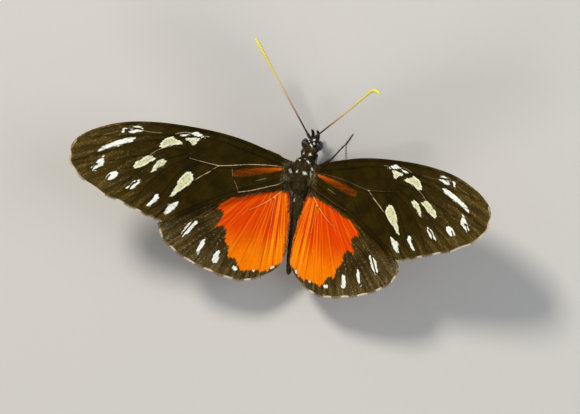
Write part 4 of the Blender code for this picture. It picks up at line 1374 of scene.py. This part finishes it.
def eyeFinish():
    material, shader, wires = newFinish("eye_lenses", {"Roughness": 0.16, "Specular IOR Level": 0.6})
    sheenPatch = noiseOf(wires, positionOf(wires), 900.0)
    lens = attributeOf(wires, "lens")
    # Purple-grey patches over the dark eye: a painted sheen.
    colour = layered(tone(18, 13, 12), (sheenPatch.within(0.35, 0.65), tone(58, 42, 52)),
                     (lens.within(0.3, 0.0) * 0.5, tone(8, 6, 6)))
    colour.into(shader, "Base Color")
    return material


def makeEyes():
    material = eyeFinish()
    for side, sign in mirrored.items():
        bm = bmesh.new()
        bmesh.ops.create_icosphere(bm, subdivisions=5, radius=1.0)
        centres = set(vert.index for vert in bm.verts)
        bmesh.ops.subdivide_edges(bm, edges=bm.edges, cuts=1, use_grid_fill=True)
        lens = []
        middle = headCentre + originShift + eyeOffset(sign)
        for index, vert in enumerate(bm.verts):
            rise = 1.0 if index in centres else 1.0 - eye["lensRise"]
            lens.append(float(index in centres))
            unit = vert.co.normalized()
            vert.co = (middle + Vector(a * b * rise for a, b in zip(unit, eye["radii"]))) * mm
        mesh = smoothed(meshOf(bm, "eye_" + side))
        setPoints(mesh, lens=lens)
        mesh.materials.append(material)
        finished(newPiece("eye_lenses_" + side, mesh), "eye", "eye_" + side)
    print("eyes made")


# Feelers: ringed shafts with a club

antenna = {
    "left": {"start": (0.2, -6.95, 5.75), "aim": (0.569, -0.778, 0.266), "length": 21.4,
             "bow": (0.0, 0.0, 0.0), "hook": (0.0, 0.0, 0.0)},
    "right": {"start": (-0.85, -7.0, 5.6), "aim": (-0.644, -0.571, 0.516), "length": 21.45,
              "bow": (0.0, 0.2, 0.0), "hook": (-0.25, 2.05, -0.65)},
    "hookFrom": 0.8, "reachIn": 0.5, "rootGirth": 0.3, "sides": 14,
    "girth": [(0.0, 0.3), (0.03, 0.3), (0.035, 0.2), (0.06, 0.22), (0.07, 0.16), (0.3, 0.17), (0.6, 0.19),
              (0.75, 0.24), (0.86, 0.33), (0.95, 0.35), (0.985, 0.26), (1.0, 0.1)],
    "rings": 46, "steps": 8, "pinch": 0.1,
    # Tones from root to tip, above and below: the upper side is painted lit, and the sides and underside are
    # painted in shade
    "litTop": [(0.0, tone(26, 14, 10)), (0.14, tone(56, 22, 14)), (0.3, tone(190, 136, 100)),
            (0.5, tone(232, 200, 136)), (0.7, tone(240, 222, 92)), (1.0, tone(250, 240, 120))],
    "below": [(0.0, tone(22, 12, 8)), (0.4, tone(62, 28, 14)), (0.8, tone(84, 58, 14)),
              (1.0, tone(110, 84, 22))],
}


def antennaFinish():
    material, shader, wires = newFinish("antenna_rings", {"Roughness": 0.4, "Specular IOR Level": 0.4})
    share, over, band = [attributeOf(wires, key) for key in ("share", "upness", "band")]
    litTop, below = [wires.make("ShaderNodeValToRGB", {"stops": antenna[key]}, {0: share})
                  for key in ("litTop", "below")]
    # Painted light: faces turned up take the lit tones, and the sides and underside take the shaded ones.
    colour = layered(below, (over.within(0.45, 0.8), litTop), (band.within(0.78, 0.95) * 0.45, tone(40, 24, 12)))
    colour.into(shader, "Base Color")
    return material


def makeAntennae():
    material = antennaFinish()
    for side in mirrored:
        spec = antenna[side]
        start, aim = Vector(spec["start"]), Vector(spec["aim"]).normalized()
        count = antenna["rings"] * antenna["steps"]
        points = [start - aim * antenna["reachIn"]]
        girths = [antenna["rootGirth"]]
        shares = [0.0]
        bands = [0.0]
        for index in range(count + 1):
            share = index / count
            hooked = max(0.0, share - antenna["hookFrom"]) / (1.0 - antenna["hookFrom"])
            band = abs(index % antenna["steps"] / antenna["steps"] - 0.5) * 2
            bend = Vector(spec["bow"]) * math.sin(math.pi * share) ** 2 + Vector(spec["hook"]) * hooked ** 3
            points.append(start + aim * spec["length"] * share + bend)
            girths.append(valueAt(antenna["girth"], share) * (1.0 - antenna["pinch"] * band ** 6))
            shares.append(share)
            bands.append(band)
        piece = rodPiece("antenna_rod_" + side, points, girths, antenna["sides"], material,
                         share=shares, band=bands)
        # How far each point faces up, for the painted light on the antenna.
        setPoints(piece.data, upness=[vertex.normal.z * 0.5 + 0.5 for vertex in piece.data.vertices])
        finished(piece, "antenna", "antenna_" + side)
    print("feelers made")


# Legs and tongue

legs = {
    "midleg": {
        "left": [(1.05, -0.9, 4.1), (1.7, -1.1, 3.9), (4.2, -1.9, 5.3), (4.7, -2.0, 5.25), (6.5, -2.4, 1.2),
                 (7.0, -2.5, 0.17), (9.2, -3.0, 0.11)],
        "right": [(-1.05, -0.9, 4.1), (-1.7, -1.2, 3.9), (-4.3, -3.2, 5.2), (-4.75, -3.65, 5.15),
                  (-5.25, -6.0, 1.2), (-5.5, -6.7, 0.17), (-6.5, -8.7, 0.11)],
    },
    "hindleg": {
        "left": [(1.05, 1.4, 4.1), (1.7, 1.7, 3.9), (3.8, 3.3, 5.0), (4.3, 3.7, 4.95), (5.8, 6.3, 1.2),
                 (6.2, 7.2, 0.17), (6.8, 10.1, 0.11)],
    },
    "foreleg": {
        "left": [(0.75, -2.0, 4.1), (0.95, -2.5, 3.5), (1.05, -3.9, 2.9), (1.0, -3.5, 2.2),
                 (0.95, -2.3, 2.1)],
    },
    # Length share and half width along a leg: thigh, knee, shin, then five foot joints
    "girth": [(0.0, 0.36), (0.07, 0.3), (0.2, 0.27), (0.3, 0.24), (0.36, 0.2), (0.39, 0.22), (0.45, 0.17),
              (0.7, 0.15), (0.75, 0.17), (0.77, 0.12), (1.0, 0.1)],
    "footFrom": 0.77, "footJoints": 5, "footSwell": (0.85, 0.3), "foreShare": 0.75,
    "foreStep": 0.1, "step": 0.12, "bend": 0.35, "bendShare": 0.4,
    # Bristles: how many, where they start and end, and their length, width and turn from one to the next
    "spines": 26, "spinesFrom": 0.4, "spinesOver": 0.56, "spineLength": 0.3, "spineWidth": 0.025,
    "spineTurn": 2.4,
}
for leg in ("hindleg", "foreleg"):
    legs[leg]["right"] = [(-x, y, z) for x, y, z in legs[leg]["left"]]


def legFinish():
    material, shader, wires = newFinish("leg_shell", {"Roughness": 0.42, "Specular IOR Level": 0.45})
    grain = noiseOf(wires, positionOf(wires), 3200.0, 3.0)
    share = attributeOf(wires, "share")
    colour = layered(tone(18, 14, 9), (grain.within(0.35, 0.7), tone(48, 36, 20)),
                     (share.within(0.6, 1.0) * 0.5, tone(84, 58, 28)))
    colour.into(shader, "Base Color")
    bumped(wires, grain, 0.5, 0.03).into(shader, "Normal")
    return material


def alongShares(points):
    steps = [0.0]
    for start, end in zip(points, points[1:]):
        steps.append(steps[-1] + (Vector(end) - Vector(start)).length)
    return [step / steps[-1] for step in steps]


def makeLegs():
    material = legFinish()
    spine = bladePiece("spine", [(0.0, 1.0), (0.5, 0.7), (1.0, 0.05)], 0.09, 0.12)
    thin, swell = legs["footSwell"]
    for leg in ("foreleg", "midleg", "hindleg"):
        fore = leg == "foreleg"
        for side in mirrored:
            points = smoothPath(legs[leg][side], legs["foreStep"]) if fore else bentPath(legs[leg][side])
            shares = alongShares(points)
            girths = []
            for share in shares:
                girth = valueAt(legs["girth"], share) * (legs["foreShare"] if fore else 1.0)
                if share > legs["footFrom"]:
                    joint = (share - legs["footFrom"]) / (1 - legs["footFrom"]) * legs["footJoints"] % 1.0
                    girth *= thin + swell * joint
                girths.append(girth)
            rod = rodPiece(leg + "_rod", points, girths, 12, material, share=shares)
            piece = joined(leg + "_shell_" + side, [rod, spineRow(points, shares, girths, spine, material),
                                                    clawPair(points, material)])
            finished(piece, "leg", leg + "_" + side)
    bpy.data.objects.remove(spine, do_unlink=True)
    print("legs made")


def bentPath(joints):
    # Straight joints with short bends at the knees.
    joints = [Vector(joint) for joint in joints]
    path = joints[:1]
    for before, here, after in zip(joints, joints[1:], joints[2:]):
        bend = min(legs["bend"], (here - before).length * legs["bendShare"],
                   (after - here).length * legs["bendShare"])
        inward = here + (before - here).normalized() * bend
        outward = here + (after - here).normalized() * bend
        for step in range(5):
            t = step / 4
            path.append(inward * (1 - t) ** 2 + here * 2 * t * (1 - t) + outward * t ** 2)
    path.append(joints[-1])
    fine = [path[0]]
    for start, end in zip(path, path[1:]):
        count = max(1, round((end - start).length / legs["step"]))
        fine += [start.lerp(end, (step + 1) / count) for step in range(count)]
    return fine


def spineRow(points, shares, girths, spine, material):
    # Short bristles down the shin and foot, leaning towards the tip.
    rows = []
    for number in range(legs["spines"]):
        at = legs["spinesFrom"] + legs["spinesOver"] * number / (legs["spines"] - 1)
        index = min(len(points) - 2, max(1, int(np.searchsorted(shares, at))))
        along = (points[index + 1] - points[index - 1]).normalized()
        side = along.cross(Vector((0, 0, 1))).normalized()
        angle = number * legs["spineTurn"]
        out = side * math.cos(angle) + side.cross(along) * math.sin(angle)
        if points[index].z < 0.5:  # near the floor they point upward
            out = (out + Vector((0, 0, 1.2))).normalized()
        rows.append((tuple((points[index] + out * girths[index] * 0.6 + originShift) * mm),
                     tuple((along + out * 0.9).normalized()), tuple(out),
                     legs["spineLength"] * (1.0 if number % 3 else 1.4) * mm, at))
    places, aims, ups, hairs, ats = zip(*rows)
    mesh = bpy.data.meshes.new("spines")
    mesh.from_pydata(places, [], [])
    setPoints(mesh, aim=aims, upward=ups, hair=hairs, breadth=[legs["spineWidth"] * mm] * len(hairs),
              share=ats)
    return applyTree(newPiece("spines", mesh), rowTree, {"Blade": spine, "Material": material})


def clawPair(points, material):
    tip = points[-1]
    along = (tip - points[-2]).normalized()
    side = along.cross(Vector((0, 0, 1))).normalized()
    # How far along the foot, out to the side and up each point of a claw is, in mm
    shape = ((-0.1, 0.0, 0.0), (0.1, 0.08, 0.03), (0.2, 0.12, 0.0), (0.26, 0.12, -0.06))
    claws = []
    for sign in (-1, 1):
        curve = [tip + along * far + side * sign * out + Vector((0, 0, up)) for far, out, up in shape]
        fine = smoothPath(curve, 0.04)
        girths = [0.06 - 0.045 * index / (len(fine) - 1) for index in range(len(fine))]
        claws.append(rodPiece("claw", fine, girths, 8, material, share=[1.0] * len(fine)))
    return joined("claws", claws)


tongue = {"start": (0.0, -0.1, -1.0), "drop": 1.6, "coilRadius": 1.15, "pitch": 0.8, "turns": 1.2,
          "girth": 0.11, "apart": 0.085, "stepsATurn": 90}


def tongueFinish():
    material, shader, wires = newFinish("tongue_shell", {"Roughness": 0.35, "Specular IOR Level": 0.5})
    share, band = [attributeOf(wires, key) for key in ("share", "band")]
    colour = layered(tone(34, 20, 12), (share, tone(72, 44, 22)),
                     (band.within(0.5, 0.9) * 0.5, tone(14, 9, 6)))
    colour.into(shader, "Base Color")
    return material


def makeTongue():
    material = tongueFinish()
    start = headCentre + Vector(tongue["start"])
    centre = start + Vector((0.0, -tongue["coilRadius"], -tongue["drop"]))
    halves = []
    for sign in (-1, 1):
        path = [start, start + Vector((0.0, 0.0, -tongue["drop"] * 0.5))]
        for index in range(round(tongue["turns"] * tongue["stepsATurn"]) + 1):
            turns = index / tongue["stepsATurn"]
            radius = tongue["coilRadius"] - tongue["pitch"] * turns
            angle = 2 * math.pi * turns
            path.append(centre + Vector((0.0, math.cos(angle), -math.sin(angle))) * radius)
        points = [point + Vector((sign * tongue["apart"], 0.0, 0.0)) for point in path]
        count = len(points)
        bands = [index % 3 / 2 for index in range(count)]
        girths = [tongue["girth"] * (1.0 - 0.45 * index / count) * (1.0 + 0.08 * (band == 0.5))
                  for index, band in enumerate(bands)]
        halves.append(rodPiece("tongue_half", points, girths, 10, material,
                               share=alongShares(points), band=bands))
    finished(joined("tongue_coil", halves), "body", "proboscis")
    print("tongue made")


makeBody()
makeEyes()
makeAntennae()
makeLegs()
makeTongue()
